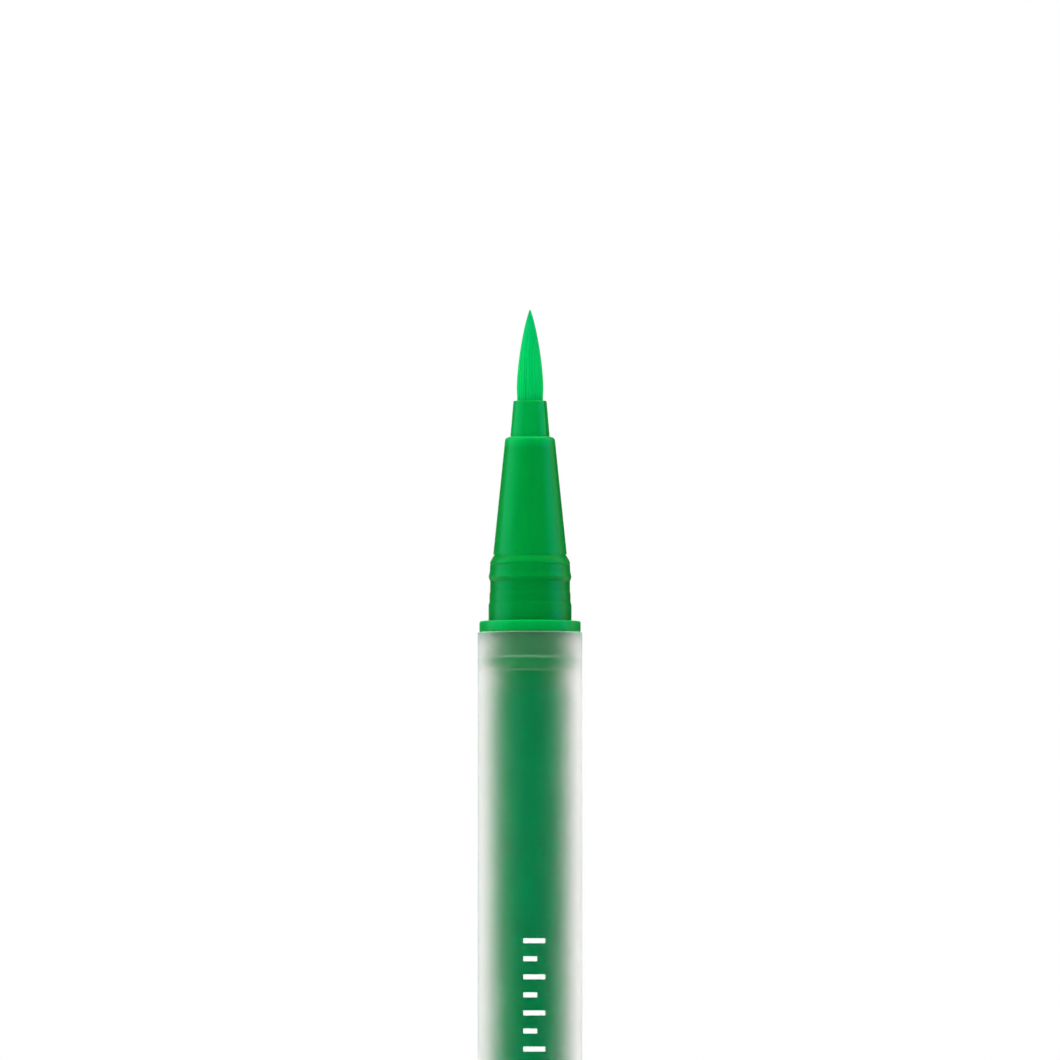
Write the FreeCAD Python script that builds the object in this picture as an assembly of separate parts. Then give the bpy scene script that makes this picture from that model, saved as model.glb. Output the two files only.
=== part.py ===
"""Liquid eyeliner pen with a brush tip. It stands tip up, with its cap posted on its tail.

Millimetres, +Z up along the pen's axis. The origin is the centre of the cap's closed end, on
which the pen stands. Every piece is turned about the Z axis, and only the air grooves are cut
to one side, so the pen looks alike from all round but for the groove seen on the right of the
holder from the front, which is -Y.
"""

import FreeCAD
import Part
import math
import os

# Fits, as radial gaps
press_clearance = 0.02  # pieces pushed together for good
slide_clearance = 0.05  # cap on collar
wick_clearance = 0.04  # fibre rod in its guide
nose_clearance = 0.1  # inner cap over nose cone

# Outer radius of barrel and cap, which are flush
pen_radius = 5.1
cut_overrun = 1.0  # how far a cutting tool runs past the piece
front_angle = -90.0  # degrees about Z from +X to the front

# Cap shell
cap_wall = 1.0
cap_end_thickness = 1.6
cap_base_round = 0.6
cap_mouth_round = 0.15
cap_foot_recess_radius = 3.1
cap_foot_recess_depth = 0.15
cap_ring_groove_depth = 0.12

# Inner cap
inner_cap_floor = 0.8
inner_cap_wall = 0.65
inner_cap_bore_radius = 3.05
inner_cap_rim_gap = 0.8  # from the collar's shoulder to the rim
inner_cap_band_length = 8.0  # the stretch that grips the cap shell
inner_cap_lead_length = 0.5  # slope from the band to the body
inner_cap_round = 0.4
tip_clearance = 3.0  # free space past the brush tip when the cap is on

# Flanges that the cap and the barrel meet, a little narrower than both
flange_thickness = 1.2
flange_inset = 0.16
flange_round = 0.15

# Collar that the cap slides on, alike on nose and tail, from the flange outwards.
# Its root land is a true cylinder, and the rest is drafted as moulded.
root_land_rise = 0.15  # over the waist
root_land_length = 1.6
step_land_rise = 0.06
step_land_length = 1.0
ramp_length = 0.12  # slope from one land to the next
land_draft = 0.01  # each drafted land narrows by this towards its free end
waist_length = 1.2
ring_rise = 0.15
ring_foot_length = 0.45
ring_brow_length = 0.6
ring_round = 0.25
upper_land_rise = 0.02
upper_land_length = 0.5
score_depth = 0.05
score_width = 0.12
shoulder_length = 1.03
shoulder_round = 0.36

# Barrel
barrel_length = 88.0
barrel_wall = 1.5
barrel_rim_round = 0.12

# Spigots that close the barrel at either end
spigot_neck_relief = 0.25  # less than the land's radius
spigot_neck_length = 2.2
spigot_land_length = 1.3
spigot_round = 0.1
nozzle_wall = 0.6
nozzle_length = 1.8  # the front spigot's narrow end
plug_spigot_length = 6.0
plug_spigot_round = 0.3
plug_wall = 1.15
plug_end_wall = 1.2
plug_dimple_radius = 0.9
plug_dimple_depth = 0.15

# Nose cone
nose_length = 11.4
nose_base_inset = 0.31  # less than the collar's shoulder
nose_groove_depth = 0.09
nose_groove_width = 0.12
nose_round = 0.25
nose_lip_wall = 0.48
nose_crown = 0.12  # how far the lip rises from its outer edge to the holder

# Brush tuft
tuft_exposed_length = 8.9
tuft_base_radius = 1.27
tuft_belly_radius = 1.32
tuft_belly_height = 1.25  # over the holder's rim
root_rise = 0.31  # fused root over the tuft's base
root_thickness = 1.0

# Tip holder
holder_exposed_length = 3.5
holder_lip_wall = 0.33
holder_taper = 0.3  # rise of the radius from rim to shank
holder_rim_round = 0.12
holder_shank_length = 5.6
holder_flange_rise = 0.43
holder_flange_thickness = 1.5
air_groove_width = 0.26
air_groove_depth = 0.14
air_groove_angle = 61.0  # from the front towards +X
air_groove_count = 2

# Brush retainer
retainer_boss_length = 2.5
retainer_length = 5.5
retainer_chamfer = 0.2
retainer_slot_width = 0.6
retainer_slot_depth = 0.4
retainer_slot_count = 3

# Feed wick
wick_radius = 0.75
wick_tip_radius = 0.6
wick_in_tuft = 3.0
wick_in_reservoir = 16.0
wick_chamfer = 0.15

# Reservoir
reservoir_gap = 0.3  # film to barrel bore, the air's way round it
reservoir_end_gap = 0.1
film_thickness = 0.1

# Shares of the tuft's height from belly to tip, and the shape of its curve
tuft_height_shares = (0.2, 0.4, 0.6, 0.78, 0.92)
tuft_curve_power = 1.6
tuft_curve_fullness = 0.85
round_limit_share = 0.9  # of the edge beside a rounded corner

# Radii that follow
cap_bore_radius = pen_radius - cap_wall
waist_radius = cap_bore_radius - slide_clearance - max(ring_rise, root_land_rise, step_land_rise)
root_land_radius = waist_radius + root_land_rise
step_land_radius = waist_radius + step_land_rise
ring_radius = waist_radius + ring_rise
upper_land_radius = waist_radius + upper_land_rise
shoulder_radius = upper_land_radius - 2 * land_draft
flange_radius = pen_radius - flange_inset
barrel_bore_radius = pen_radius - barrel_wall
spigot_land_radius = barrel_bore_radius - press_clearance
spigot_neck_radius = spigot_land_radius - spigot_neck_relief
film_radius = barrel_bore_radius - reservoir_gap
core_radius = film_radius - film_thickness - press_clearance
root_radius = tuft_base_radius + root_rise
tuft_bore_radius = tuft_base_radius + press_clearance
counterbore_radius = root_radius + press_clearance
holder_rim_radius = tuft_bore_radius + holder_lip_wall
holder_shank_radius = holder_rim_radius + holder_taper
holder_flange_radius = holder_shank_radius + holder_flange_rise
nose_bore_radius = holder_shank_radius + press_clearance
nose_tip_radius = nose_bore_radius + nose_lip_wall
nose_base_radius = shoulder_radius - nose_base_inset
main_bore_radius = holder_flange_radius + press_clearance
nozzle_radius = main_bore_radius + nozzle_wall
plug_bore_radius = spigot_neck_radius - plug_wall

# Heights that follow, from the cap's closed end up to the brush tip
collar_length = (
    root_land_length + step_land_length + waist_length + ring_foot_length
    + ring_brow_length + upper_land_length + score_width + shoulder_length
)
front_reach = collar_length + nose_length + holder_exposed_length + tuft_exposed_length
cap_length = cap_end_thickness + inner_cap_floor + tip_clearance + front_reach
post_end = cap_length - collar_length
barrel_bottom = cap_length + flange_thickness
barrel_top = barrel_bottom + barrel_length
collar_base = barrel_top + flange_thickness
nose_base = collar_base + collar_length
nose_top = nose_base + nose_length
holder_rim = nose_top + holder_exposed_length
tuft_tip = holder_rim + tuft_exposed_length
holder_step = nose_top - holder_shank_length
holder_bottom = holder_step - holder_flange_thickness
root_bottom = holder_bottom + retainer_boss_length
root_top = root_bottom + root_thickness
retainer_bottom = holder_bottom - retainer_length
nozzle_top = barrel_top - spigot_neck_length - spigot_land_length
nozzle_end = nozzle_top - nozzle_length
reservoir_top = nozzle_end - reservoir_end_gap
reservoir_bottom = barrel_bottom + plug_spigot_length
wick_bottom = reservoir_top - wick_in_reservoir
wick_top = root_bottom + wick_in_tuft
inner_cap_rim = post_end - inner_cap_rim_gap


def point(radius, height):
    """A point of a turned outline, in the XZ plane."""
    return FreeCAD.Vector(radius, 0, height)


def rounded_edges(corners):
    """Edges of a closed outline of (radius, height, rounding) corners, with tangent arcs."""
    places = [point(r, h) for r, h, _ in corners]

    def room(way, neighbour):
        """How far an arc may run along an edge: half as far where both its ends are rounded."""
        sharing = 2 if neighbour[2] > 0 else 1
        return way.Length * round_limit_share / sharing

    starts, ends, arcs = [], [], []
    for i, (_, _, rounding) in enumerate(corners):
        following = (i + 1) % len(corners)
        here = places[i]
        back = places[i - 1] - here
        ahead = places[following] - here
        half = back.getAngle(ahead) / 2
        reach = min(
            rounding / math.tan(half),
            room(back, corners[i - 1]),
            room(ahead, corners[following]),
        )
        if rounding <= 0 or reach <= 0:
            starts.append(here)
            ends.append(here)
            continue
        back.normalize()
        ahead.normalize()
        radius = reach * math.tan(half)
        inward = (back + ahead).normalize()
        middle = here + inward * (radius / math.sin(half) - radius)
        starts.append(here + back * reach)
        ends.append(here + ahead * reach)
        arcs.append(Part.Arc(starts[-1], middle, ends[-1]).toShape())
    lines = [
        Part.LineSegment(ends[i - 1], starts[i]).toShape()
        for i in range(len(corners))
        if (ends[i - 1] - starts[i]).Length > 0
    ]
    return lines + arcs


def turned(edges):
    """The solid that a closed outline sweeps about the Z axis."""
    outline = Part.Wire(Part.__sortEdges__(edges))
    solid = Part.Face(outline).revolve(FreeCAD.Vector(0, 0, 0), FreeCAD.Vector(0, 0, 1), 360)
    return solid if solid.Volume > 0 else solid.reversed()


def radial_slot(outline, width, angle):
    """A cutter: a flat outline of (radius, height) points, this wide, turned from the front."""
    corners = [point(r, h) for r, h in outline]
    face = Part.Face(Part.makePolygon(corners + corners[:1]))
    slab = face.extrude(FreeCAD.Vector(0, width, 0))
    slab.translate(FreeCAD.Vector(0, -width / 2, 0))
    slab.rotate(FreeCAD.Vector(0, 0, 0), FreeCAD.Vector(0, 0, 1), front_angle + angle)
    return slab


def collar_corners(flange_face, way):
    """The collar's outline from its flange (way +1 up, -1 down) to just before its shoulder."""
    steps = (
        (0, root_land_radius, 0),
        (root_land_length, root_land_radius, 0),
        (ramp_length, step_land_radius, 0),
        (step_land_length - ramp_length, step_land_radius - land_draft, 0),
        (ramp_length, waist_radius, 0),
        (waist_length - ramp_length, waist_radius - land_draft, 0),
        (ring_foot_length, ring_radius, ring_round),
        (ring_brow_length, upper_land_radius, 0),
        (upper_land_length, upper_land_radius - land_draft, 0),
        (score_width / 2, upper_land_radius - land_draft - score_depth, 0),
        (score_width / 2, upper_land_radius - land_draft, 0),
    )
    height = flange_face
    corners = []
    for length, radius, rounding in steps:
        height += way * length
        corners.append((radius, height, rounding))
    return corners


def make_cap_shell():
    """The outer cap: a cup with a recessed foot and a groove for the collar's ring."""
    ring_height = cap_length - (root_land_length + step_land_length + waist_length + ring_foot_length)
    groove_bottom = ring_height - ring_brow_length
    groove_top = ring_height + ring_foot_length
    groove_radius = cap_bore_radius + cap_ring_groove_depth
    return turned(rounded_edges([
        (0, cap_foot_recess_depth, 0),
        (cap_foot_recess_radius, cap_foot_recess_depth, 0),
        (cap_foot_recess_radius + cap_foot_recess_depth, 0, 0),
        (pen_radius, 0, cap_base_round),
        (pen_radius, cap_length, cap_mouth_round),
        (cap_bore_radius, cap_length, cap_mouth_round),
        (cap_bore_radius, groove_top, 0),
        (groove_radius, ring_height, ring_round),
        (cap_bore_radius, groove_bottom, 0),
        (cap_bore_radius, cap_end_thickness, 0),
        (0, cap_end_thickness, 0),
    ]))


def make_inner_cap():
    """The sealing cup that grips the shell near its rim and closes over nose and tuft."""
    band_radius = cap_bore_radius - press_clearance
    body_radius = inner_cap_bore_radius + inner_cap_wall
    nose_slope = (nose_base_radius - nose_tip_radius) / nose_length
    rim_bore_radius = nose_base_radius - nose_slope * inner_cap_rim_gap + nose_clearance
    band_bottom = inner_cap_rim - inner_cap_band_length
    return turned(rounded_edges([
        (0, cap_end_thickness, 0),
        (body_radius, cap_end_thickness, inner_cap_round),
        (body_radius, band_bottom - inner_cap_lead_length, 0),
        (band_radius, band_bottom, 0),
        (band_radius, inner_cap_rim, spigot_round),
        (rim_bore_radius, inner_cap_rim, spigot_round),
        (inner_cap_bore_radius, band_bottom, 0),
        (inner_cap_bore_radius, cap_end_thickness + inner_cap_floor, inner_cap_round),
        (0, cap_end_thickness + inner_cap_floor, 0),
    ]))


def make_tail_plug():
    """The barrel's lower stopper, whose post takes the cap. It is hollow from above."""
    collar = collar_corners(cap_length, -1)
    spigot_top = barrel_bottom + plug_spigot_length
    return turned(rounded_edges([
        (0, post_end + plug_dimple_depth, 0),
        (plug_dimple_radius, post_end + plug_dimple_depth, 0),
        (plug_dimple_radius + plug_dimple_depth, post_end, 0),
        (shoulder_radius, post_end, shoulder_round),
        *reversed(collar),
        (flange_radius, cap_length, flange_round),
        (flange_radius, barrel_bottom, flange_round),
        (spigot_neck_radius, barrel_bottom, 0),
        (spigot_neck_radius, barrel_bottom + spigot_neck_length, 0),
        (spigot_land_radius, barrel_bottom + spigot_neck_length, spigot_round),
        (spigot_land_radius, spigot_top, plug_spigot_round),
        (plug_bore_radius, spigot_top, 0),
        (plug_bore_radius, post_end + plug_end_wall, 0),
        (0, post_end + plug_end_wall, 0),
    ]))


def make_barrel():
    """The frosted tube between the two flanges."""
    return turned(rounded_edges([
        (barrel_bore_radius, barrel_bottom, barrel_rim_round),
        (pen_radius, barrel_bottom, barrel_rim_round),
        (pen_radius, barrel_top, barrel_rim_round),
        (barrel_bore_radius, barrel_top, barrel_rim_round),
    ]))


def make_front_section():
    """Nose cone, collar, flange and spigot in one moulding, bored through in two steps."""
    groove_radius = nose_base_radius - nose_groove_depth
    cone_foot = nose_base + nose_groove_width
    return turned(rounded_edges([
        (main_bore_radius, nozzle_end, 0),
        (nozzle_radius, nozzle_end, spigot_round),
        (nozzle_radius, nozzle_top, 0),
        (spigot_land_radius, nozzle_top, spigot_round),
        (spigot_land_radius, barrel_top - spigot_neck_length, spigot_round),
        (spigot_neck_radius, barrel_top - spigot_neck_length, 0),
        (spigot_neck_radius, barrel_top, 0),
        (flange_radius, barrel_top, flange_round),
        (flange_radius, collar_base, flange_round),
        *collar_corners(collar_base, 1),
        (shoulder_radius, nose_base, shoulder_round),
        (groove_radius, nose_base, 0),
        (groove_radius, cone_foot, 0),
        (nose_base_radius, cone_foot, 0),
        (nose_tip_radius, nose_top - nose_crown, nose_round),
        (nose_bore_radius, nose_top, 0),
        (nose_bore_radius, holder_step, 0),
        (main_bore_radius, holder_step, 0),
    ]))


def make_tip_holder():
    """The tapered sleeve round the tuft, with air grooves from its rim to its flange."""
    holder = turned(rounded_edges([
        (counterbore_radius, holder_bottom, 0),
        (holder_flange_radius, holder_bottom, 0),
        (holder_flange_radius, holder_step, 0),
        (holder_shank_radius, holder_step, 0),
        (holder_shank_radius, nose_top, 0),
        (holder_rim_radius, holder_rim, holder_rim_round),
        (tuft_bore_radius, holder_rim, 0),
        (tuft_bore_radius, root_top, 0),
        (counterbore_radius, root_top, 0),
    ]))
    outside = holder_flange_radius + cut_overrun
    groove = (
        (holder_rim_radius - air_groove_depth, holder_rim + cut_overrun),
        (holder_rim_radius - air_groove_depth, holder_rim),
        (holder_shank_radius - air_groove_depth, nose_top),
        (holder_shank_radius - air_groove_depth, holder_step),
        (holder_flange_radius - air_groove_depth, holder_step),
        (holder_flange_radius - air_groove_depth, holder_bottom - cut_overrun),
        (outside, holder_bottom - cut_overrun),
        (outside, holder_rim + cut_overrun),
    )
    for i in range(air_groove_count):
        angle = air_groove_angle + 360 * i / air_groove_count
        holder = holder.cut(radial_slot(groove, air_groove_width, angle))
    return holder


def make_brush_tuft():
    """The pointed bundle of filaments, with a fused root and a pocket for the wick's tip."""
    pocket_radius = wick_tip_radius + press_clearance
    belly = holder_rim + tuft_belly_height
    taper_length = tuft_tip - belly
    curve_points = [point(tuft_base_radius, holder_rim), point(tuft_belly_radius, belly)]
    for share in tuft_height_shares:
        fullness = (1 - share**tuft_curve_power) ** tuft_curve_fullness
        curve_points.append(point(tuft_belly_radius * fullness, belly + taper_length * share))
    curve_points.append(point(0, tuft_tip))
    curve = Part.BSplineCurve()
    curve.interpolate(curve_points)
    straight = [
        point(0, tuft_tip),
        point(0, wick_top),
        point(pocket_radius, wick_top),
        point(pocket_radius, root_bottom),
        point(root_radius, root_bottom),
        point(root_radius, root_top),
        point(tuft_base_radius, root_top),
        point(tuft_base_radius, holder_rim),
    ]
    sides = [Part.LineSegment(a, b).toShape() for a, b in zip(straight, straight[1:])]
    return turned(sides + [curve.toShape()])


def make_brush_retainer():
    """The inner plug that traps the fused root and guides the wick, with slots for air."""
    body_radius = main_bore_radius - press_clearance
    boss_radius = counterbore_radius - press_clearance
    guide_radius = wick_radius + wick_clearance
    retainer = turned(rounded_edges([
        (guide_radius, retainer_bottom, 0),
        (body_radius - retainer_chamfer, retainer_bottom, 0),
        (body_radius, retainer_bottom + retainer_chamfer, 0),
        (body_radius, holder_bottom, 0),
        (boss_radius, holder_bottom, 0),
        (boss_radius, root_bottom, 0),
        (guide_radius, root_bottom, 0),
    ]))
    slot = (
        (body_radius - retainer_slot_depth, retainer_bottom - cut_overrun),
        (body_radius - retainer_slot_depth, holder_bottom),
        (body_radius + cut_overrun, holder_bottom),
        (body_radius + cut_overrun, retainer_bottom - cut_overrun),
    )
    for i in range(retainer_slot_count):
        angle = air_groove_angle + 360 * i / retainer_slot_count
        retainer = retainer.cut(radial_slot(slot, retainer_slot_width, angle))
    return retainer


def make_feed_wick():
    """The fibre rod from deep in the reservoir to inside the tuft."""
    return turned(rounded_edges([
        (0, wick_bottom, 0),
        (wick_radius - wick_chamfer, wick_bottom, 0),
        (wick_radius, wick_bottom + wick_chamfer, 0),
        (wick_radius, root_bottom, 0),
        (wick_tip_radius, root_bottom, 0),
        (wick_tip_radius, wick_top - wick_chamfer, 0),
        (wick_tip_radius - wick_chamfer, wick_top, 0),
        (0, wick_top, 0),
    ]))


def make_reservoir_core():
    """The fibre bundle that holds the liquid, pressed open by the wick."""
    pocket_radius = wick_radius + press_clearance
    return turned(rounded_edges([
        (0, reservoir_bottom, 0),
        (core_radius, reservoir_bottom, 0),
        (core_radius, reservoir_top, 0),
        (pocket_radius, reservoir_top, 0),
        (pocket_radius, wick_bottom, 0),
        (0, wick_bottom, 0),
    ]))


def make_reservoir_film():
    """The thin wrap round the fibre bundle."""
    inside = film_radius - film_thickness
    return turned(rounded_edges([
        (inside, reservoir_bottom, 0),
        (film_radius, reservoir_bottom, 0),
        (film_radius, reservoir_top, 0),
        (inside, reservoir_top, 0),
    ]))


def main():
    pieces = {
        "cap_shell": make_cap_shell(),
        "inner_cap": make_inner_cap(),
        "tail_plug": make_tail_plug(),
        "barrel": make_barrel(),
        "reservoir_core": make_reservoir_core(),
        "reservoir_film": make_reservoir_film(),
        "feed_wick": make_feed_wick(),
        "front_section": make_front_section(),
        "brush_retainer": make_brush_retainer(),
        "tip_holder": make_tip_holder(),
        "brush_tuft": make_brush_tuft(),
    }
    os.makedirs("parts", exist_ok=True)
    for name, shape in pieces.items():
        if not shape.isValid() or not shape.Solids:
            raise ValueError(f"{name} is not a valid solid")
        shape.exportStep(f"parts/{name}.step")
        heights = shape.BoundBox
        print(f"{name}: {shape.Volume:.2f} mm3, from z {heights.ZMin:.2f} to {heights.ZMax:.2f} mm")


if __name__ == "__main__":
    main()
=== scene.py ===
"""Looks of a brush-tip eyeliner pen that stands on its posted cap, laid out as a Blender add-on.

Metres, +Z up along the pen's axis, the front towards -Y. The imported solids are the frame: heights
and outer radii are read from their boxes, and the settings below give what lies between.
"""

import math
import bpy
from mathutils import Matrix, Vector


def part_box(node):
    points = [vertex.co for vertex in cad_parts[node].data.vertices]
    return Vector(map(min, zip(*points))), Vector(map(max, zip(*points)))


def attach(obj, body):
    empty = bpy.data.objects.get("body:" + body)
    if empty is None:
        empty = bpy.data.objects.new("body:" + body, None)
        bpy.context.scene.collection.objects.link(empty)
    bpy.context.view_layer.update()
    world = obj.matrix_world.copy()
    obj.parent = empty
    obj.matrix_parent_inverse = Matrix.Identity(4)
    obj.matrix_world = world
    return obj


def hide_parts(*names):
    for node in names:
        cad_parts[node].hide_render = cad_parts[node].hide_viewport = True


bl_info = {
    "name": "Brush Eyeliner Pen",
    "version": (1, 0, 0),
    "blender": (4, 5, 0),
    "location": "View3D > Sidebar > Eyeliner Pen",
    "description": "Builds a frosted eyeliner pen with a brush tip, and the studio round it",
    "category": "Object",
}

from types import SimpleNamespace

import bmesh
import bpy
from bpy.props import FloatProperty, FloatVectorProperty, IntProperty, PointerProperty
from mathutils import Vector

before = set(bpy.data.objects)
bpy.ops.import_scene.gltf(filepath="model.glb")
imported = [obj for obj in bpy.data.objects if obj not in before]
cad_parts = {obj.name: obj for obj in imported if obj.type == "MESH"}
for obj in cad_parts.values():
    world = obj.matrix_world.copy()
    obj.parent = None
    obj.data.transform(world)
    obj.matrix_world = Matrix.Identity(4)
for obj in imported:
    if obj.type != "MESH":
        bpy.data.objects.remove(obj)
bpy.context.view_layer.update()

MM = 0.001

# How finely a turned piece is divided
COLUMNS = 128
ARC_STEP = math.radians(15)
ROUND_LIMIT = 0.9  # share of an edge that roundings may take
HOLD = 0.05 * MM  # from the end of a rounding to the point that keeps the flat beside it flat
TOLERANCE = 0.002 * MM  # places closer than this count as one
SHARP_ANGLE = math.radians(20)  # edges that turn by more are shaded sharp


# Settings

def length(label, millimetres, description):
    """A length setting, its default given in millimetres and kept in metres."""
    return FloatProperty(
        name=label, description=description, default=millimetres * MM, min=0.0, precision=6,
        unit="LENGTH",
    )


def share(label, value, description):
    """A setting from 0 to 1."""
    return FloatProperty(
        name=label, description=description, default=value, min=0.0, max=1.0, subtype="FACTOR",
    )


def angle(label, degrees, description):
    """An angle setting, its default given in degrees and kept in radians."""
    return FloatProperty(
        name=label, description=description, default=math.radians(degrees), subtype="ANGLE",
    )


def colour(label, value, description):
    """A linear colour setting."""
    return FloatVectorProperty(
        name=label, description=description, default=value, size=3, min=0.0, max=1.0,
        subtype="COLOR",
    )


def thinness_and_light(label, value, description):
    """A setting from -1, a thicker wall darkened with painted shade, to 1, a thinner one lightened with
    painted light.
    """
    return FloatProperty(name=label, description=description, default=value, min=-1.0, max=1.0)


class WallSizes(bpy.types.PropertyGroup):
    """Walls, gaps and flanges that several pieces share"""

    press_clearance: length("Press gap", 0.02, "Radial gap between pieces pushed together for good")
    slide_clearance: length("Slide gap", 0.05, "Radial gap between the cap and the collar's lands")
    nose_clearance: length("Nose gap", 0.1, "Radial gap between the inner cap and the nose")
    cap_wall: length("Cap wall", 1.0, "Wall of the outer cap")
    barrel_wall: length("Barrel wall", 1.5, "Wall of the frosted tube")
    barrel_rim_round: length("Barrel rim rounding", 0.12, "Rounding of the tube's rims")
    ring_line_drop: length("Ring line drop", 0.26, "From the stopper's steps down to the fine lines")
    ring_line_depth: length("Ring line depth", 0.02, "Depth of the fine lines round the tube's ends")
    ring_line_width: length("Ring line width", 0.24, "Width of those lines")
    flange_thickness: length("Flange thickness", 1.08, "Height of the flanges at either end")
    flange_round: length("Flange rounding", 0.15, "Rounding of the flanges' rims")
    flange_top_round: length("Flange top rounding", 0.16, "Rounding of the front flange's upper rim")
    reservoir_gap: length("Reservoir gap", 0.3, "Radial gap between the reservoir and the tube")
    film_thickness: length("Film thickness", 0.1, "Wall of the film round the reservoir")


class CollarSizes(bpy.types.PropertyGroup):
    """The stepped collar that the cap slides on, listed from the flange outwards"""

    root_land_rise: length("Root land rise", 0.15, "Root land over the waist")
    root_land_length: length("Root land length", 1.58, "Length of the land next to the flange")
    step_land_rise: length("Step land rise", 0.06, "Step land over the waist")
    step_land_length: length("Step land length", 1.07, "Length of the second land")
    ramp_length: length("Ramp length", 0.28, "Slope from one land to the next")
    ramp_round: length("Ramp rounding", 0.3, "Rounding of the slopes between the lands")
    land_draft: length("Land draft", 0.01, "How much a drafted land narrows to its free end")
    waist_length: length("Waist length", 1.21, "Length of the narrow stretch before the ring")
    ring_rise: length("Ring rise", 0.15, "Snap ring over the waist")
    ring_foot_length: length("Ring foot", 0.45, "Slope from the waist to the ring's crest")
    ring_brow_length: length("Ring brow", 0.6, "Slope from the ring's crest outwards")
    ring_round: length("Ring rounding", 0.25, "Rounding of the ring's crest")
    upper_land_rise: length("Upper land rise", 0.02, "Upper land over the waist")
    upper_land_length: length("Upper land length", 0.5, "Length of the land past the ring")
    score_depth: length("Score depth", 0.04, "Depth of the fine line past the upper land")
    score_width: length("Score width", 0.2, "Width of that line")
    shoulder_length: length("Shoulder length", 0.8, "Length from the line to the collar's end")
    shoulder_slope_length: length("Shoulder slope", 0.6, "Length over which the end slopes in")
    shoulder_slope_inset: length("Shoulder inset", 0.35, "How far it slopes in")
    shoulder_round: length("Shoulder rounding", 0.7, "Rounding where the slope starts")
    shoulder_edge_round: length("Shoulder edge rounding", 0.06, "Rounding of the collar's end")


class SpigotSizes(bpy.types.PropertyGroup):
    """The stoppers that close the tube at either end"""

    neck_relief: length("Neck relief", 0.55, "Neck under the land that grips the tube")
    neck_length: length("Neck length", 2.2, "Length of the relieved neck")
    neck_flare: length("Neck flare", 0.6, "Length over which the neck widens at either end")
    neck_round: length("Neck rounding", 0.5, "Rounding where the neck starts to widen")
    land_length: length("Land length", 1.3, "Length of the front land that grips the tube")
    edge_round: length("Edge rounding", 0.1, "Rounding of the spigots' edges")
    nozzle_wall: length("Nozzle wall", 0.6, "Wall of the front spigot's narrow end")
    plug_round: length("Plug rounding", 0.3, "Rounding of the tail plug's inner end")
    plug_wall: length("Plug wall", 0.85, "Wall of the hollow tail plug's neck")
    plug_end_wall: length("Plug end wall", 1.2, "Thickness of the tail plug's closed end")
    dimple_radius: length("Dimple radius", 0.9, "Radius of the dimple in the tail plug's end")
    dimple_depth: length("Dimple depth", 0.15, "Depth of that dimple")


class ThinnessAndLight(bpy.types.PropertyGroup):
    """Wall thickness of the green parts from -1 to 1, and the painted shade and light that go with it: darker
    under the snap ring and at the stoppers' necks, lighter on the flanges and in the nose's foot groove
    """

    flange_foot: thinness_and_light("Flange foot", 0.0, "At the flange's face on the tube")
    # Painted light: the flange lighter away from the tube, as if light fell in through it
    flange_top: thinness_and_light("Flange top", 0.8, "At the flange's outer face")
    # Painted shade down the collar: darkest under the snap ring, less on the ring's crest, none at the
    # shoulder's foot
    root_land: thinness_and_light("Root land", -0.8, "Where the collar leaves the flange")
    waist_end: thinness_and_light("Waist end", -1.0, "Under the snap ring")
    ring_crest: thinness_and_light("Ring crest", -0.35, "On the snap ring")
    ring_brow: thinness_and_light("Ring brow", -0.6, "Past the snap ring")
    score: thinness_and_light("Score", -0.5, "At the fine line past the ring")
    shoulder_foot: thinness_and_light("Shoulder foot", 0.0, "Where the shoulder starts to slope in")
    shoulder_top: thinness_and_light("Shoulder top", -0.5, "At the collar's end")
    # Painted shade at both ends of the stopper's neck, paler in its middle
    neck_root: thinness_and_light("Neck root", -1.0, "Of the stopper's neck at the flange")
    neck_middle: thinness_and_light("Neck middle", 0.2, "Of that neck halfway along")
    neck_end: thinness_and_light("Neck end", -0.5, "Of that neck at the land")
    # Painted light in the nose's foot groove that lifts its shade, and a little painted shade on the cone's
    # foot
    foot_groove: thinness_and_light("Foot groove", 1.0, "In the groove at the nose's foot")
    nose_foot: thinness_and_light("Nose foot", -0.25, "Of the nose cone at its foot")
    sleeve: thinness_and_light("Sleeve", 0.4, "In the sleeve round the brush")


class NoseSizes(bpy.types.PropertyGroup):
    """The cone between the collar and the tip holder"""

    base_inset: length("Base inset", 0.31, "Cone's foot under the collar's shoulder")
    groove_depth: length("Groove depth", 0.09, "Depth of the groove at the cone's foot")
    groove_width: length("Groove width", 0.12, "Width of that groove")
    tip_round: length("Tip rounding", 0.38, "Rounding of the cone's upper rim")
    lip_wall: length("Lip wall", 0.48, "Wall of the cone at its upper rim")
    # Painted light: the nose lightens over this stretch up to its upper rim
    lip_height: length("Lip height", 1.1, "Height of the paler thin stretch under that rim")
    crown: length("Crown", 0.12, "Rise of the lip from its outer edge to the holder")


class HolderSizes(bpy.types.PropertyGroup):
    """The tapered sleeve round the brush"""

    lip_wall: length("Lip wall", 0.33, "Wall of the sleeve at its rim")
    taper: length("Taper", 0.3, "Rise of the radius from the rim down to the nose")
    rim_round: length("Rim rounding", 0.12, "Rounding of the sleeve's rim")
    shank_length: length("Shank length", 5.6, "Length of the sleeve inside the nose")
    flange_rise: length("Flange rise", 0.43, "Inner flange over the shank")
    groove_width: length("Air groove width", 0.26, "Width of each air groove")
    groove_depth: length("Air groove depth", 0.14, "Depth of each air groove")
    groove_angle: angle("Air groove angle", 61.0, "First air groove, from the front towards +X")
    groove_count: IntProperty(
        name="Air grooves", description="Number of air grooves round the sleeve", default=2, min=0,
    )


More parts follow.
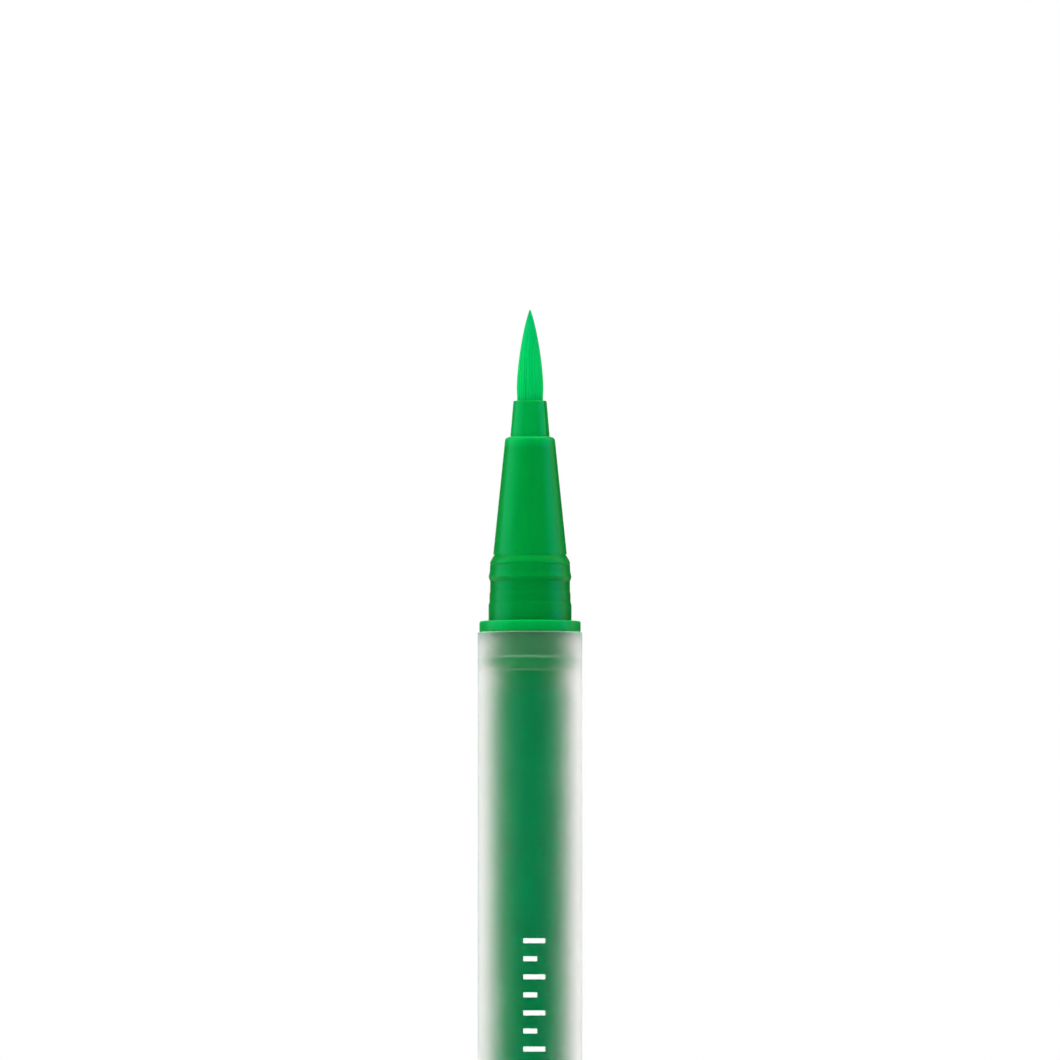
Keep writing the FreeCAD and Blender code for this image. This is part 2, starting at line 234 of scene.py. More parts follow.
class BrushSizes(bpy.types.PropertyGroup):
    """The pointed bundle of filaments"""

    base_radius: length("Base radius", 1.27, "Bundle's radius where it leaves the sleeve")
    belly_radius: length("Belly radius", 1.32, "Bundle's largest radius")
    belly_height: length("Belly height", 1.25, "Height of the belly over the sleeve's rim")
    root_thickness: length("Root thickness", 1.0, "Height of the fused root")
    curve_power: FloatProperty(
        name="Curve power", description="How late the bundle starts to taper", default=1.6, min=1.0,
    )
    curve_fullness: FloatProperty(
        name="Curve fullness", description="Lower is fuller towards the point", default=0.85, min=0.1,
    )
    point_length: length("Point length", 5.6, "Stretch over which the bundle darkens to its point")
    root_shade_length: length("Root shade length", 0.8, "Height of the shade over the sleeve's rim")
    root_shade: share("Root shade", 0.4, "Strength of that shade")
    sunk_length: length("Sunk length", 0.35, "How far the modelled filaments start inside the sleeve")
    filament_radius: length("Filament radius", 0.048, "Radius of a filament at the belly")
    filament_count: IntProperty(
        name="Filaments", description="Number of filaments modelled round the bundle", default=300,
        min=12, max=1200,
    )
    seed: IntProperty(name="Seed", description="Seed of the bundle's irregularities", default=7)


class CapSizes(bpy.types.PropertyGroup):
    """The outer cap and the sealing cup in it"""

    end_thickness: length("End thickness", 1.6, "Thickness of the cap's closed end")
    base_round: length("Base rounding", 0.6, "Rounding round the closed end")
    mouth_round: length("Mouth rounding", 0.15, "Rounding of the cap's mouth")
    foot_recess_radius: length("Foot recess radius", 3.1, "Radius of the recess in the closed end")
    foot_recess_depth: length("Foot recess depth", 0.15, "Depth of that recess")
    ring_groove_depth: length("Ring groove depth", 0.12, "Groove in which the snap ring sits")
    cup_floor: length("Cup floor", 0.8, "Floor of the sealing cup")
    cup_wall: length("Cup wall", 0.65, "Wall of the sealing cup")
    cup_bore_radius: length("Cup bore radius", 3.05, "Bore of the sealing cup's body")
    cup_band_length: length("Cup band length", 8.0, "Stretch of the cup that grips the cap")
    cup_lead_length: length("Cup lead length", 0.5, "Slope from that band to the cup's body")
    cup_round: length("Cup rounding", 0.4, "Rounding at the cup's floor")


class MarkSizes(bpy.types.PropertyGroup):
    """The printed level scale on the tube"""

    count: IntProperty(name="Marks", description="Number of printed bars", default=23, min=1)
    pitch: length("Pitch", 1.75, "Distance from one bar to the next")
    drop: length("Drop", 30.1, "First bar under the tube's upper rim")
    long_width: length("Long bar", 2.15, "Length round the tube of every other bar")
    short_width: length("Short bar", 1.35, "Length round the tube of the bars between")
    thickness: length("Bar thickness", 0.48, "Height of a bar along the tube")
    start_angle: angle("Start angle", -7.3, "Left end of the bars, from the front towards +X")
    proud: length("Ink thickness", 0.02, "How far the ink stands over the tube")
    sunk: length("Ink bite", 0.004, "How far the ink goes into the frosting")


class PenColours(bpy.types.PropertyGroup):
    """Linear colours of the finishes"""

    nose: colour("Nose plastic", (0.0, 0.27, 0.032), "Green of the nose, collar and cap")
    # Painted shade: darker green mixed in where the walls are thicker and in shade, as on the collar
    thick_and_shaded: colour("Thick, shaded plastic", (0.0, 0.2, 0.022), "Green of the thick-walled collar")
    # Painted light: lighter green mixed in where the walls are thinner and lit; the wick takes it as its own
    # colour
    thin_and_lit: colour("Thin, lit plastic", (0.0, 0.41, 0.075), "Green of the thinnest walls")
    nose_deep: colour("Nose plastic, deep", (0.0, 0.2, 0.022), "Darker green in its flow marks")
    # Painted light: lighter green mixed in at edges, where light would shine through them
    nose_rim: colour("Nose plastic, thin", (0.004, 0.44, 0.065), "Green where thin edges let light in")
    # Painted shade: the stoppers take darker greens than the nose, for the shade inside the tube
    spigot: colour("Stopper plastic", (0.0, 0.165, 0.03), "Green of the stoppers behind the frosting")
    # Painted shade and light on the stoppers: darker and lighter copies of the stopper green
    spigot_thick_and_shaded: colour(
        "Stopper plastic, thick", (0.0, 0.11, 0.02), "Green at the root of the stoppers' necks",
    )
    spigot_thin_and_lit: colour("Stopper plastic, thin", (0.0, 0.23, 0.05), "Green where the stoppers look thin")
    tuft: colour("Filaments", (0.0, 0.61, 0.122), "Bright green of the filaments")
    tuft_deep: colour("Filaments, deep", (0.0, 0.45, 0.07), "Green between the filaments")
    tuft_point: colour("Filaments, point", (0.0, 0.42, 0.115), "Green towards the bundle's point")
    core: colour("Soaked fibre", (0.0, 0.175, 0.036), "Green of the soaked fibre core")
    core_pale: colour("Soaked fibre, pale", (0.0, 0.28, 0.08), "Green where the core is less soaked")
    frost: colour("Frosted tube", (1.0, 0.955, 0.925), "Tint of the frosted tube")
    # Painted light: the green-white glow given to the tube's rims
    frost_edge_glow: colour("Frosted rims, painted glow", (0.42, 1.0, 0.6), "Tint of the tube's rims")
    seal: colour("Natural plastic", (0.61, 0.72, 0.63), "Tint of the unpigmented inner pieces")
    ink: colour("Printed ink", (0.93, 0.95, 0.93), "Colour of the printed bars")


class StageSettings(bpy.types.PropertyGroup):
    """Camera, lamps and floor"""

    pixel_size: FloatProperty(
        name="Pixel size", description="Size at the pen of one pixel of the photograph",
        default=0.09756 * MM, precision=8, unit="LENGTH",
    )
    image_side: IntProperty(name="Image side", description="Pixels across the photograph", default=1060)
    tip_row: FloatProperty(
        name="Tip row", description="Row of the brush tip in the photograph", default=309.5,
    )
    camera_distance: length("Camera distance", 1200.0, "From the camera to the pen's axis")
    camera_drop: length("Camera drop", 39.0, "Camera's height under the tube's upper rim")
    floor_radius: length("Floor radius", 700.0, "Radius of the round floor")
    shadow_radius: length("Shadow radius", 160.0, "Radius inside which the floor shows its shade")
    sky_level: share("Sky level", 0.65, "Light from straight above, 1 for plain white")
    ground_level: share("Ground level", 0.15, "Light from straight below, 1 for plain white")
    flag_distance: length("Flag distance", 600.0, "From the pen's axis to each black card behind it")
    flag_width: length("Flag width", 560.0, "Width of each black card")
    flag_height: length("Flag height", 700.0, "Height of each black card")
    floor_colour: colour("Floor", (0.88, 0.88, 0.88), "Colour of the floor near the pen")


class PenSettings(bpy.types.PropertyGroup):
    """All settings of the pen and its studio"""

    walls: PointerProperty(type=WallSizes)
    collar: PointerProperty(type=CollarSizes)
    thinness_and_light: PointerProperty(type=ThinnessAndLight)
    spigot: PointerProperty(type=SpigotSizes)
    nose: PointerProperty(type=NoseSizes)
    holder: PointerProperty(type=HolderSizes)
    brush: PointerProperty(type=BrushSizes)
    cap: PointerProperty(type=CapSizes)
    marks: PointerProperty(type=MarkSizes)
    colours: PointerProperty(type=PenColours)
    stage: PointerProperty(type=StageSettings)


def pen_of(context):
    """The pen's settings, and the radii and heights that follow from them."""
    pen = context.scene.eyeliner_pen
    return pen, pen_places(pen)


def pen_places(pen):
    """Radii and heights of the pen, from the frame's boxes and the settings."""
    walls, collar, spigot = pen.walls, pen.collar, pen.spigot
    at = SimpleNamespace()
    at.cap_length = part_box("cap_shell")[1].z
    at.pen_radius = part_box("barrel")[1].x
    at.barrel_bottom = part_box("barrel")[0].z
    at.barrel_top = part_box("barrel")[1].z
    at.post_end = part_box("tail_plug")[0].z
    at.plug_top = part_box("tail_plug")[1].z
    at.inner_cap_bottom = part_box("inner_cap")[0].z
    at.inner_cap_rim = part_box("inner_cap")[1].z
    at.flange_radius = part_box("front_section")[1].x
    at.nozzle_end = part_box("front_section")[0].z
    at.nose_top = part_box("front_section")[1].z
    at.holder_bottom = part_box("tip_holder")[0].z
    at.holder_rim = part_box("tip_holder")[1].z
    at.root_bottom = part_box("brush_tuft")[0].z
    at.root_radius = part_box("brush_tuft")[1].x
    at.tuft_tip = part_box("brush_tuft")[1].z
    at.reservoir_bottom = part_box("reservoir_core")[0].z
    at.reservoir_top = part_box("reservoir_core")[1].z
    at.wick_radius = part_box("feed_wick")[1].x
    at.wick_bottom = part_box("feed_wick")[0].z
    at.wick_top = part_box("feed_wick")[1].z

    at.cap_bore_radius = at.pen_radius - walls.cap_wall
    at.ring_radius = at.cap_bore_radius - walls.slide_clearance
    at.waist_radius = at.ring_radius - max(collar.ring_rise, collar.root_land_rise)
    at.upper_land_radius = at.waist_radius + collar.upper_land_rise
    at.shoulder_radius = at.upper_land_radius - 2 * collar.land_draft
    at.collar_length = (
        collar.root_land_length + collar.step_land_length + collar.waist_length
        + collar.ring_foot_length + collar.ring_brow_length + collar.upper_land_length
        + collar.score_width + collar.shoulder_length
    )
    at.collar_base = at.barrel_top + walls.flange_thickness
    at.nose_base = at.collar_base + at.collar_length

    at.barrel_bore_radius = at.pen_radius - walls.barrel_wall
    at.land_radius = at.barrel_bore_radius - walls.press_clearance
    at.neck_radius = at.land_radius - spigot.neck_relief
    at.plug_bore_radius = at.neck_radius - spigot.plug_wall
    at.nozzle_top = at.barrel_top - spigot.neck_length - spigot.land_length

    at.holder_bore_radius = pen.brush.base_radius + walls.press_clearance
    at.holder_rim_radius = at.holder_bore_radius + pen.holder.lip_wall
    at.holder_shank_radius = at.holder_rim_radius + pen.holder.taper
    at.holder_flange_radius = at.holder_shank_radius + pen.holder.flange_rise
    at.holder_step = at.nose_top - pen.holder.shank_length
    at.counterbore_radius = at.root_radius + walls.press_clearance
    at.root_top = at.root_bottom + pen.brush.root_thickness

    at.nose_bore_radius = at.holder_shank_radius + walls.press_clearance
    at.nose_tip_radius = at.nose_bore_radius + pen.nose.lip_wall
    at.nose_base_radius = at.shoulder_radius - pen.nose.base_inset
    at.main_bore_radius = at.holder_flange_radius + walls.press_clearance
    at.nozzle_radius = at.main_bore_radius + spigot.nozzle_wall

    at.film_radius = at.barrel_bore_radius - walls.reservoir_gap
    at.film_bore_radius = at.film_radius - walls.film_thickness
    at.core_radius = at.film_bore_radius - walls.press_clearance
    return at


# Turned meshes

def arc_points(start, end, centre):
    """Points of the arc from start to end about centre, both ends included."""
    from_start, from_end = start - centre, end - centre
    sweep = from_start.angle(from_end)
    count = max(2, math.ceil(sweep / ARC_STEP))
    points = []
    for i in range(count + 1):
        turned = i / count * sweep
        along = from_start * math.sin(sweep - turned) + from_end * math.sin(turned)
        points.append(centre + along / math.sin(sweep))
    return points


def rounded_outline(corners):
    """Points of a closed outline of (radius, height, rounding) corners, with tangent arcs.

    A point close to either end of an arc keeps the smooth shading off the straight stretches.
    """
    count = len(corners)
    places = [Vector(corner[:2]) for corner in corners]
    ahead = [(places[(i + 1) % count] - places[i]).normalized() for i in range(count)]
    edge_lengths = [(places[(i + 1) % count] - places[i]).length for i in range(count)]
    halves = [(-ahead[i - 1]).angle(ahead[i]) / 2 for i in range(count)]
    reaches = []
    for i, (_, _, rounding) in enumerate(corners):
        back_room = edge_lengths[i - 1] / (2 if corners[i - 1][2] > 0 else 1)
        ahead_room = edge_lengths[i] / (2 if corners[(i + 1) % count][2] > 0 else 1)
        reaches.append(min(rounding / math.tan(halves[i]), ROUND_LIMIT * min(back_room, ahead_room)))
    points = []
    for i, here in enumerate(places):
        following = (i + 1) % count
        reach = reaches[i]
        if reach > 0:
            bisector = (ahead[i] - ahead[i - 1]).normalized()
            centre = here + bisector * (reach / math.cos(halves[i]))
            points += arc_points(here - ahead[i - 1] * reach, here + ahead[i] * reach, centre)
        else:
            points.append(here)
        hold = min(HOLD, (edge_lengths[i] - reach - reaches[following]) / 4)
        if hold > TOLERANCE and reach > 0:
            points.append(here + ahead[i] * (reach + hold))
        if hold > TOLERANCE and reaches[following] > 0:
            points.append(places[following] - ahead[i] * (reaches[following] + hold))
    return points


def turned_mesh(
    name, corners, column_angles=None, radius_at=None, finish_at=None, thinness_and_light_at=None,
):
    """The closed mesh that an outline of (radius, height, rounding) corners sweeps about Z.

    column_angles are the bearings of the outline's copies, from the front towards +X. radius_at
    (bearing, radius, height) may move a point in or out, finish_at(radius, height) picks a face's
    material, and thinness_and_light_at(radius, height) gives from -1 to 1 the wall's thickness
    there, with the painted shade and light that go with it.
    """
    if column_angles is None:
        column_angles = [math.tau * i / COLUMNS for i in range(COLUMNS)]
    shell = bmesh.new()
    rows = []
    for radius, height in rounded_outline(corners):
        if radius < TOLERANCE:
            rows.append([shell.verts.new((0, 0, height))])
            continue
        row = []
        for bearing in column_angles:
            reach = radius_at(bearing, radius, height) if radius_at else radius
            row.append(shell.verts.new((reach * math.sin(bearing), -reach * math.cos(bearing), height)))
        rows.append(row)
    columns = len(column_angles)
    for lower, upper in zip(rows, rows[1:] + rows[:1]):
        if len(lower) == 1 and len(upper) == 1:
            continue
        for i in range(columns):
            following = (i + 1) % columns
            corners_of_face = []
            for row, order in ((lower, (i, following)), (upper, (following, i))):
                corners_of_face += [row[0]] if len(row) == 1 else [row[j] for j in order]
            face = shell.faces.new(corners_of_face)
            face.smooth = True
            if finish_at:
                middle = face.calc_center_median()
                face.material_index = finish_at(middle.xy.length, middle.z)
    bmesh.ops.recalc_face_normals(shell, faces=shell.faces)
    mesh = bpy.data.meshes.new(name)
    shell.to_mesh(mesh)
    shell.free()
    mesh.set_sharp_from_angle(angle=SHARP_ANGLE)
    if thinness_and_light_at:
        thinness_and_light = mesh.attributes.new("thinness_and_light", "FLOAT", "POINT")
        for vertex, value in zip(mesh.vertices, thinness_and_light.data):
            value.value = thinness_and_light_at(vertex.co.xy.length, vertex.co.z)
    return mesh


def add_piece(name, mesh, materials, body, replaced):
    """Puts a mesh in the scene as a piece that rides on a body and stands for solids of the frame."""
    for material in materials:
        mesh.materials.append(material)
    piece = bpy.data.objects.new(name, mesh)
    bpy.context.scene.collection.objects.link(piece)
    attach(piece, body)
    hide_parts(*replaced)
    return piece


def finish_node(name, material):
    """Gives a solid of the frame its material."""
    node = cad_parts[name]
    if not node.material_slots:
        node.data.materials.append(material)
    for slot in node.material_slots:
        slot.material = material


# Node trees

NODE_SPACING = 190
WHITE = (1.0, 1.0, 1.0)


def find_socket(sockets, key):
    """The socket with this identifier, or else the first with this name."""
    by_identifier = [s for s in sockets if s.identifier == key]
    return (by_identifier or [s for s in sockets if s.name == key])[0]


def feed(tree, sockets, values):
    """Gives sockets their plain values, and links those that take another node's output."""
    for key, value in values.items():
        socket = find_socket(sockets, key)
        if isinstance(value, bpy.types.NodeSocket):
            tree.links.new(value, socket)
        else:
            socket.default_value = value


def add_node(tree, kind, inputs=None, **settings):
    """Adds a node with these settings. Its inputs take plain values or other nodes' outputs."""
    node = tree.nodes.new(kind)
    node.location.x = NODE_SPACING * len(tree.nodes)
    for name, value in settings.items():
        setattr(node, name, value)
    feed(tree, node.inputs, inputs or {})
    return node


def calculate(tree, operation, *values, clamp=False):
    """The output of a Math node."""
    keys = ("Value", "Value_001", "Value_002")
    node = add_node(
        tree, "ShaderNodeMath", dict(zip(keys, values)), operation=operation, use_clamp=clamp,
    )
    return node.outputs[0]


def remap(tree, value, from_min, from_max, to_min=0.0, to_max=1.0, smooth=False):
    """The output of a Map Range node."""
    node = add_node(
        tree, "ShaderNodeMapRange",
        {"Value": value, "From Min": from_min, "From Max": from_max, "To Min": to_min, "To Max": to_max},
        interpolation_type="SMOOTHSTEP" if smooth else "LINEAR",
    )
    return node.outputs[0]


def mix_colours(tree, factor, first, second):
    """The output of a Mix node that goes from the first colour to the second."""
    node = add_node(
        tree, "ShaderNodeMix", {"Factor_Float": factor, "A_Color": first, "B_Color": second},
        data_type="RGBA",
    )
    return find_socket(node.outputs, "Result_Color")


def vector_of(tree, x=0.0, y=0.0, z=0.0):
    """The output of a Combine XYZ node."""
    return add_node(tree, "ShaderNodeCombineXYZ", {"X": x, "Y": y, "Z": z}).outputs[0]


def new_group(name, kind, inputs, outputs):
    """A new node group with (label, socket type, default) inputs and (label, type) outputs."""
    tree = bpy.data.node_groups.new(name, kind)
    for label, socket_type, default in inputs:
        socket = tree.interface.new_socket(name=label, in_out="INPUT", socket_type=socket_type)
        if default is not None:
            socket.default_value = default
    for label, socket_type in outputs:
        tree.interface.new_socket(name=label, in_out="OUTPUT", socket_type=socket_type)
    source = tree.nodes.new("NodeGroupInput")
    sink = tree.nodes.new("NodeGroupOutput")
    return tree, source.outputs, sink.inputs


def opaque(rgb):
    """A colour setting as the four numbers that a colour socket takes."""
    return (*rgb, 1.0)


def toned(rgb, factor):
    """A colour made darker, or lighter as far as white."""
    return [min(1.0, factor * value) for value in rgb]


def seen_as_background(tree):
    """1 for a ray that shows the background, straight, in gloss or through glass, and 0 for light."""
    path = add_node(tree, "ShaderNodeLightPath").outputs
    reflected = calculate(tree, "MAXIMUM", path["Is Glossy Ray"], path["Is Transmission Ray"])
    return calculate(tree, "MAXIMUM", path["Is Camera Ray"], reflected)


def stretched_along_z(tree, vector, stretch):
    """Coordinates squeezed along Z, which stretch a pattern on them by that much."""
    squeeze = vector_of(tree, 1.0, 1.0, calculate(tree, "DIVIDE", 1.0, stretch))
    squeezed = add_node(
        tree, "ShaderNodeVectorMath", {"Vector": vector, "Vector_001": squeeze}, operation="MULTIPLY",
    )
    return squeezed.outputs[0]


# Effects that several finishes share

def flow_marks(name):
    """Soft long swirls of pigment, as a mask from 0 to 1."""
    tree, given, result = new_group(
        name, "ShaderNodeTree",
        [("Vector", "NodeSocketVector", None), ("Scale", "NodeSocketFloat", 400.0),
         ("Stretch", "NodeSocketFloat", 3.0)],
        [("Mask", "NodeSocketFloat")],
    )
    noise = add_node(tree, "ShaderNodeTexNoise", {
        "Vector": stretched_along_z(tree, given["Vector"], given["Stretch"]),
        "Scale": given["Scale"], "Detail": 3.0, "Roughness": 0.55, "Distortion": 0.7,
    })
    feed(tree, result, {"Mask": remap(tree, noise.outputs[0], 0.35, 0.7, smooth=True)})
    return tree


def skin_grain(name):
    """Fine moulded skin, as a normal and a change of roughness about 0."""
    breadth = 14.0  # of a patch of uneven gloss, in grains
    tree, given, result = new_group(
        name, "ShaderNodeTree",
        [("Vector", "NodeSocketVector", None), ("Scale", "NodeSocketFloat", 9000.0),
         ("Depth", "NodeSocketFloat", 0.002 * MM), ("Unevenness", "NodeSocketFloat", 0.1)],
        [("Normal", "NodeSocketVector"), ("Roughness", "NodeSocketFloat")],
    )
    fine = add_node(tree, "ShaderNodeTexNoise", {
        "Vector": given["Vector"], "Scale": given["Scale"], "Detail": 2.0, "Roughness": 0.6,
    })
    bump = add_node(tree, "ShaderNodeBump", {
        "Strength": 1.0, "Distance": given["Depth"], "Height": fine.outputs[0],
    })
    coarse = add_node(tree, "ShaderNodeTexNoise", {
        "Vector": given["Vector"], "Scale": calculate(tree, "DIVIDE", given["Scale"], breadth),
        "Detail": 3.0, "Roughness": 0.5,
    })
    centred = calculate(tree, "SUBTRACT", coarse.outputs[0], 0.5)
    feed(tree, result, {
        "Normal": bump.outputs[0],
        "Roughness": calculate(tree, "MULTIPLY", centred, given["Unevenness"]),
    })
    return tree


def thin_edges(name):
    """Where the surface turns over an edge within a short reach, as a mask from 0 to 1."""
    tree, given, result = new_group(
        name, "ShaderNodeTree",
        [("Reach", "NodeSocketFloat", 0.3 * MM), ("Gain", "NodeSocketFloat", 4.0)],
        [("Mask", "NodeSocketFloat")],
    )
    softened = add_node(tree, "ShaderNodeBevel", {"Radius": given["Reach"]}, samples=6)
    geometry = add_node(tree, "ShaderNodeNewGeometry")
    likeness = add_node(
        tree, "ShaderNodeVectorMath",
        {"Vector": softened.outputs[0], "Vector_001": find_socket(geometry.outputs, "Normal")},
        operation="DOT_PRODUCT",
    )
    turn = calculate(tree, "SUBTRACT", 1.0, find_socket(likeness.outputs, "Value"))
    feed(tree, result, {"Mask": calculate(tree, "MULTIPLY", turn, given["Gain"], clamp=True)})
    return tree


def fibre_streaks(name):
    """Fine streaks along Z, as a mask from 0 to 1 and a normal."""
    tree, given, result = new_group(
        name, "ShaderNodeTree",
        [("Vector", "NodeSocketVector", None), ("Scale", "NodeSocketFloat", 9000.0),
         ("Stretch", "NodeSocketFloat", 30.0), ("Depth", "NodeSocketFloat", 0.02 * MM)],
        [("Mask", "NodeSocketFloat"), ("Normal", "NodeSocketVector")],
    )
    noise = add_node(tree, "ShaderNodeTexNoise", {
        "Vector": stretched_along_z(tree, given["Vector"], given["Stretch"]),
        "Scale": given["Scale"], "Detail": 3.0, "Roughness": 0.6,
    })
    streak = remap(tree, noise.outputs[0], 0.32, 0.68)
    bump = add_node(tree, "ShaderNodeBump", {
        "Strength": 1.0, "Distance": given["Depth"], "Height": streak,
    })
    feed(tree, result, {"Mask": streak, "Normal": bump.outputs[0]})
    return tree


def handling(name):
    """Faint smears and specks from handling, as two masks from 0 to 1."""
    clean_share = 0.82  # of the cells, so that specks stay rare
    tree, given, result = new_group(
        name, "ShaderNodeTree",
        [("Vector", "NodeSocketVector", None), ("Smear Scale", "NodeSocketFloat", 180.0),
         ("Speck Scale", "NodeSocketFloat", 1100.0), ("Speck Size", "NodeSocketFloat", 0.06)],
        [("Smears", "NodeSocketFloat"), ("Specks", "NodeSocketFloat")],
    )
    smear = add_node(tree, "ShaderNodeTexNoise", {
        "Vector": given["Vector"], "Scale": given["Smear Scale"], "Detail": 4.0, "Roughness": 0.65,
        "Distortion": 1.2,
    })
    cells = add_node(tree, "ShaderNodeTexVoronoi", {
        "Vector": given["Vector"], "Scale": given["Speck Scale"],
    })
    dots = calculate(tree, "LESS_THAN", find_socket(cells.outputs, "Distance"), given["Speck Size"])
    chosen = add_node(tree, "ShaderNodeSeparateColor", {"Color": find_socket(cells.outputs, "Color")})
    few = calculate(tree, "GREATER_THAN", chosen.outputs[0], clean_share)
    feed(tree, result, {
        "Smears": remap(tree, smear.outputs[0], 0.45, 0.75, smooth=True),
        "Specks": calculate(tree, "MULTIPLY", dots, few),
    })
    return tree


EFFECTS = {
    "Flow Marks": flow_marks,
    "Skin Grain": skin_grain,
    "Thin Edges": thin_edges,
    "Fibre Streaks": fibre_streaks,
    "Handling": handling,
}


def add_effect(tree, name, inputs):
    """Places a shared effect in a material with its own values. The first use builds its group."""
    group = bpy.data.node_groups.get(name) or EFFECTS[name](name)
    node = add_node(tree, "ShaderNodeGroup", node_tree=group)
    feed(tree, node.inputs, inputs)
    return node.outputs


# Finishes

# Tints of the gloss, so that highlights keep the pen's green
GREEN_SHINE = (0.02, 1.0, 0.45)
FROST_SHINE = (0.0, 0.85, 0.4)


def new_material(name, viewport_colour):
    """An empty node material, with its tree, Principled shader and object coordinates."""
    material = bpy.data.materials.new(name)
    material.use_nodes = True
    material.diffuse_color = opaque(viewport_colour)
    tree = material.node_tree
    tree.nodes.clear()
    shader = add_node(tree, "ShaderNodeBsdfPrincipled")
    output = add_node(tree, "ShaderNodeOutputMaterial")
    tree.links.new(shader.outputs[0], output.inputs[0])
    coordinates = find_socket(add_node(tree, "ShaderNodeTexCoord").outputs, "Object")
    return material, tree, shader.inputs, coordinates


def moulded_plastic(name, base, *, deep, rim, rim_share, roughness, shine, glow_depth, thick_and_shaded=None, thin_and_lit=None):
    """Satin pigmented plastic: flow marks, fine grain, smears, and edges lightened with painted light, as if
    they let light in.

    With the colours thick_and_shaded and thin_and_lit, the mesh's thinness_and_light attribute paints shade
    and light on it.
    """
    if name in bpy.data.materials:
        return bpy.data.materials[name]
    flow_share, speck_share, smear_roughness = 0.3, 0.12, 0.07
    dust = (0.5, 0.62, 0.52)
    material, tree, shader, coordinates = new_material(name, base)
    flow = add_effect(tree, "Flow Marks", {"Vector": coordinates, "Scale": 520.0, "Stretch": 4.0})
    grain = add_effect(tree, "Skin Grain", {
        "Vector": coordinates, "Scale": 2800.0, "Depth": 0.0005 * MM, "Unevenness": 0.06,
    })
    edges = add_effect(tree, "Thin Edges", {"Reach": 0.32 * MM, "Gain": 3.0})
    handled = add_effect(tree, "Handling", {"Vector": coordinates, "Speck Size": 0.05})
    plain = opaque(base)
    edge_share = rim_share
    # Painted shade and light: the attribute mixes in the darker and the lighter green
    if thick_and_shaded:
        wall = find_socket(add_node(tree, "ShaderNodeAttribute", attribute_name="thinness_and_light").outputs, "Fac")
        shade_share = calculate(tree, "MULTIPLY", wall, -1.0, clamp=True)
        light_share = calculate(tree, "MULTIPLY", wall, 1.0, clamp=True)
        plain = mix_colours(tree, shade_share, plain, opaque(thick_and_shaded))
        plain = mix_colours(tree, light_share, plain, opaque(thin_and_lit))
        edge_share = remap(tree, wall, -0.3, 0.3, 0.0, rim_share)
    marked = calculate(tree, "MULTIPLY", flow["Mask"], flow_share)
    body = mix_colours(tree, marked, plain, opaque(deep))
    # Painted light: the edges take the lighter rim colour
    glowing = calculate(tree, "MULTIPLY", edges["Mask"], edge_share)
    lit = mix_colours(tree, glowing, body, opaque(rim))
    specked = calculate(tree, "MULTIPLY", handled["Specks"], speck_share)
    dusted = mix_colours(tree, specked, lit, opaque(dust))
    smeared = calculate(tree, "MULTIPLY", handled["Smears"], smear_roughness)
    uneven = calculate(tree, "ADD", calculate(tree, "ADD", grain["Roughness"], roughness), smeared)
    feed(tree, shader, {
        "Base Color": dusted, "Roughness": uneven, "Normal": grain["Normal"], "IOR": 1.45,
        "Specular IOR Level": 0.3, "Specular Tint": opaque(shine),
        "Subsurface Weight": 0.4 if glow_depth > 0 else 0.0,
        "Subsurface Radius": (0.12, 1.0, 0.4), "Subsurface Scale": glow_depth,
    })
    return material


def green_plastic(colours):
    """Green plastic of the nose, collars, flanges, sleeve and cap."""
    return moulded_plastic(
        "Green Moulded Plastic", colours.nose, deep=colours.nose_deep, rim=colours.nose_rim,
        # The rim colour mixed in at edges is painted light
        rim_share=0.25, roughness=0.292, shine=GREEN_SHINE, glow_depth=1.0 * MM,
        thick_and_shaded=colours.thick_and_shaded, thin_and_lit=colours.thin_and_lit,
    )


def stopper_plastic(colours):
    """The same plastic on the stoppers, dulled by the press fit behind the frosted tube, in darker greens
    that paint the shade inside the tube.
    """
    return moulded_plastic(
        "Green Stopper Plastic", colours.spigot, deep=colours.nose, rim=colours.spigot,
        rim_share=0.0, roughness=0.5, shine=GREEN_SHINE, glow_depth=0.0,
        thick_and_shaded=colours.spigot_thick_and_shaded, thin_and_lit=colours.spigot_thin_and_lit,
    )


def natural_plastic(colours):
    """Unpigmented plastic of the sealing cup and the brush retainer."""
    return moulded_plastic(
        # Its lighter rim colour is painted light at the edges
        "Natural Seal Plastic", colours.seal, deep=toned(colours.seal, 0.9), rim=toned(colours.seal, 1.12),
        rim_share=0.5, roughness=0.45, shine=WHITE, glow_depth=1.5 * MM,
    )


def frosted_skin(name, frost, milkiness_and_glow):
    """Outside of the tube: clear plastic with a matt skin. Its milky share is painted light: a pale haze over
    the stoppers, most where it stands off their necks, pale glints along the fine lines and a green-white
    glow at the rims.
    """
    if name in bpy.data.materials:
        return bpy.data.materials[name]
    roughness, smear_roughness = 0.76, 0.05
    material, tree, shader, coordinates = new_material(name, frost)
    grain = add_effect(tree, "Skin Grain", {
        "Vector": coordinates, "Scale": 9000.0, "Depth": 0.0012 * MM, "Unevenness": 0.08,
    })
    flow = add_effect(tree, "Flow Marks", {"Vector": coordinates, "Scale": 260.0, "Stretch": 5.0})
    handled = add_effect(tree, "Handling", {"Vector": coordinates, "Speck Size": 0.05})
    tint = mix_colours(tree, flow["Mask"], opaque(frost), opaque(toned(frost, 0.96)))
    smeared = calculate(tree, "MULTIPLY", handled["Smears"], smear_roughness)
    uneven = calculate(tree, "ADD", calculate(tree, "ADD", grain["Roughness"], roughness), smeared)
    feed(tree, shader, {
        "Base Color": tint, "Roughness": uneven, "Normal": grain["Normal"], "IOR": 1.5,
        "Transmission Weight": 1.0 - milkiness_and_glow, "Specular Tint": opaque(FROST_SHINE),
    })
    return material


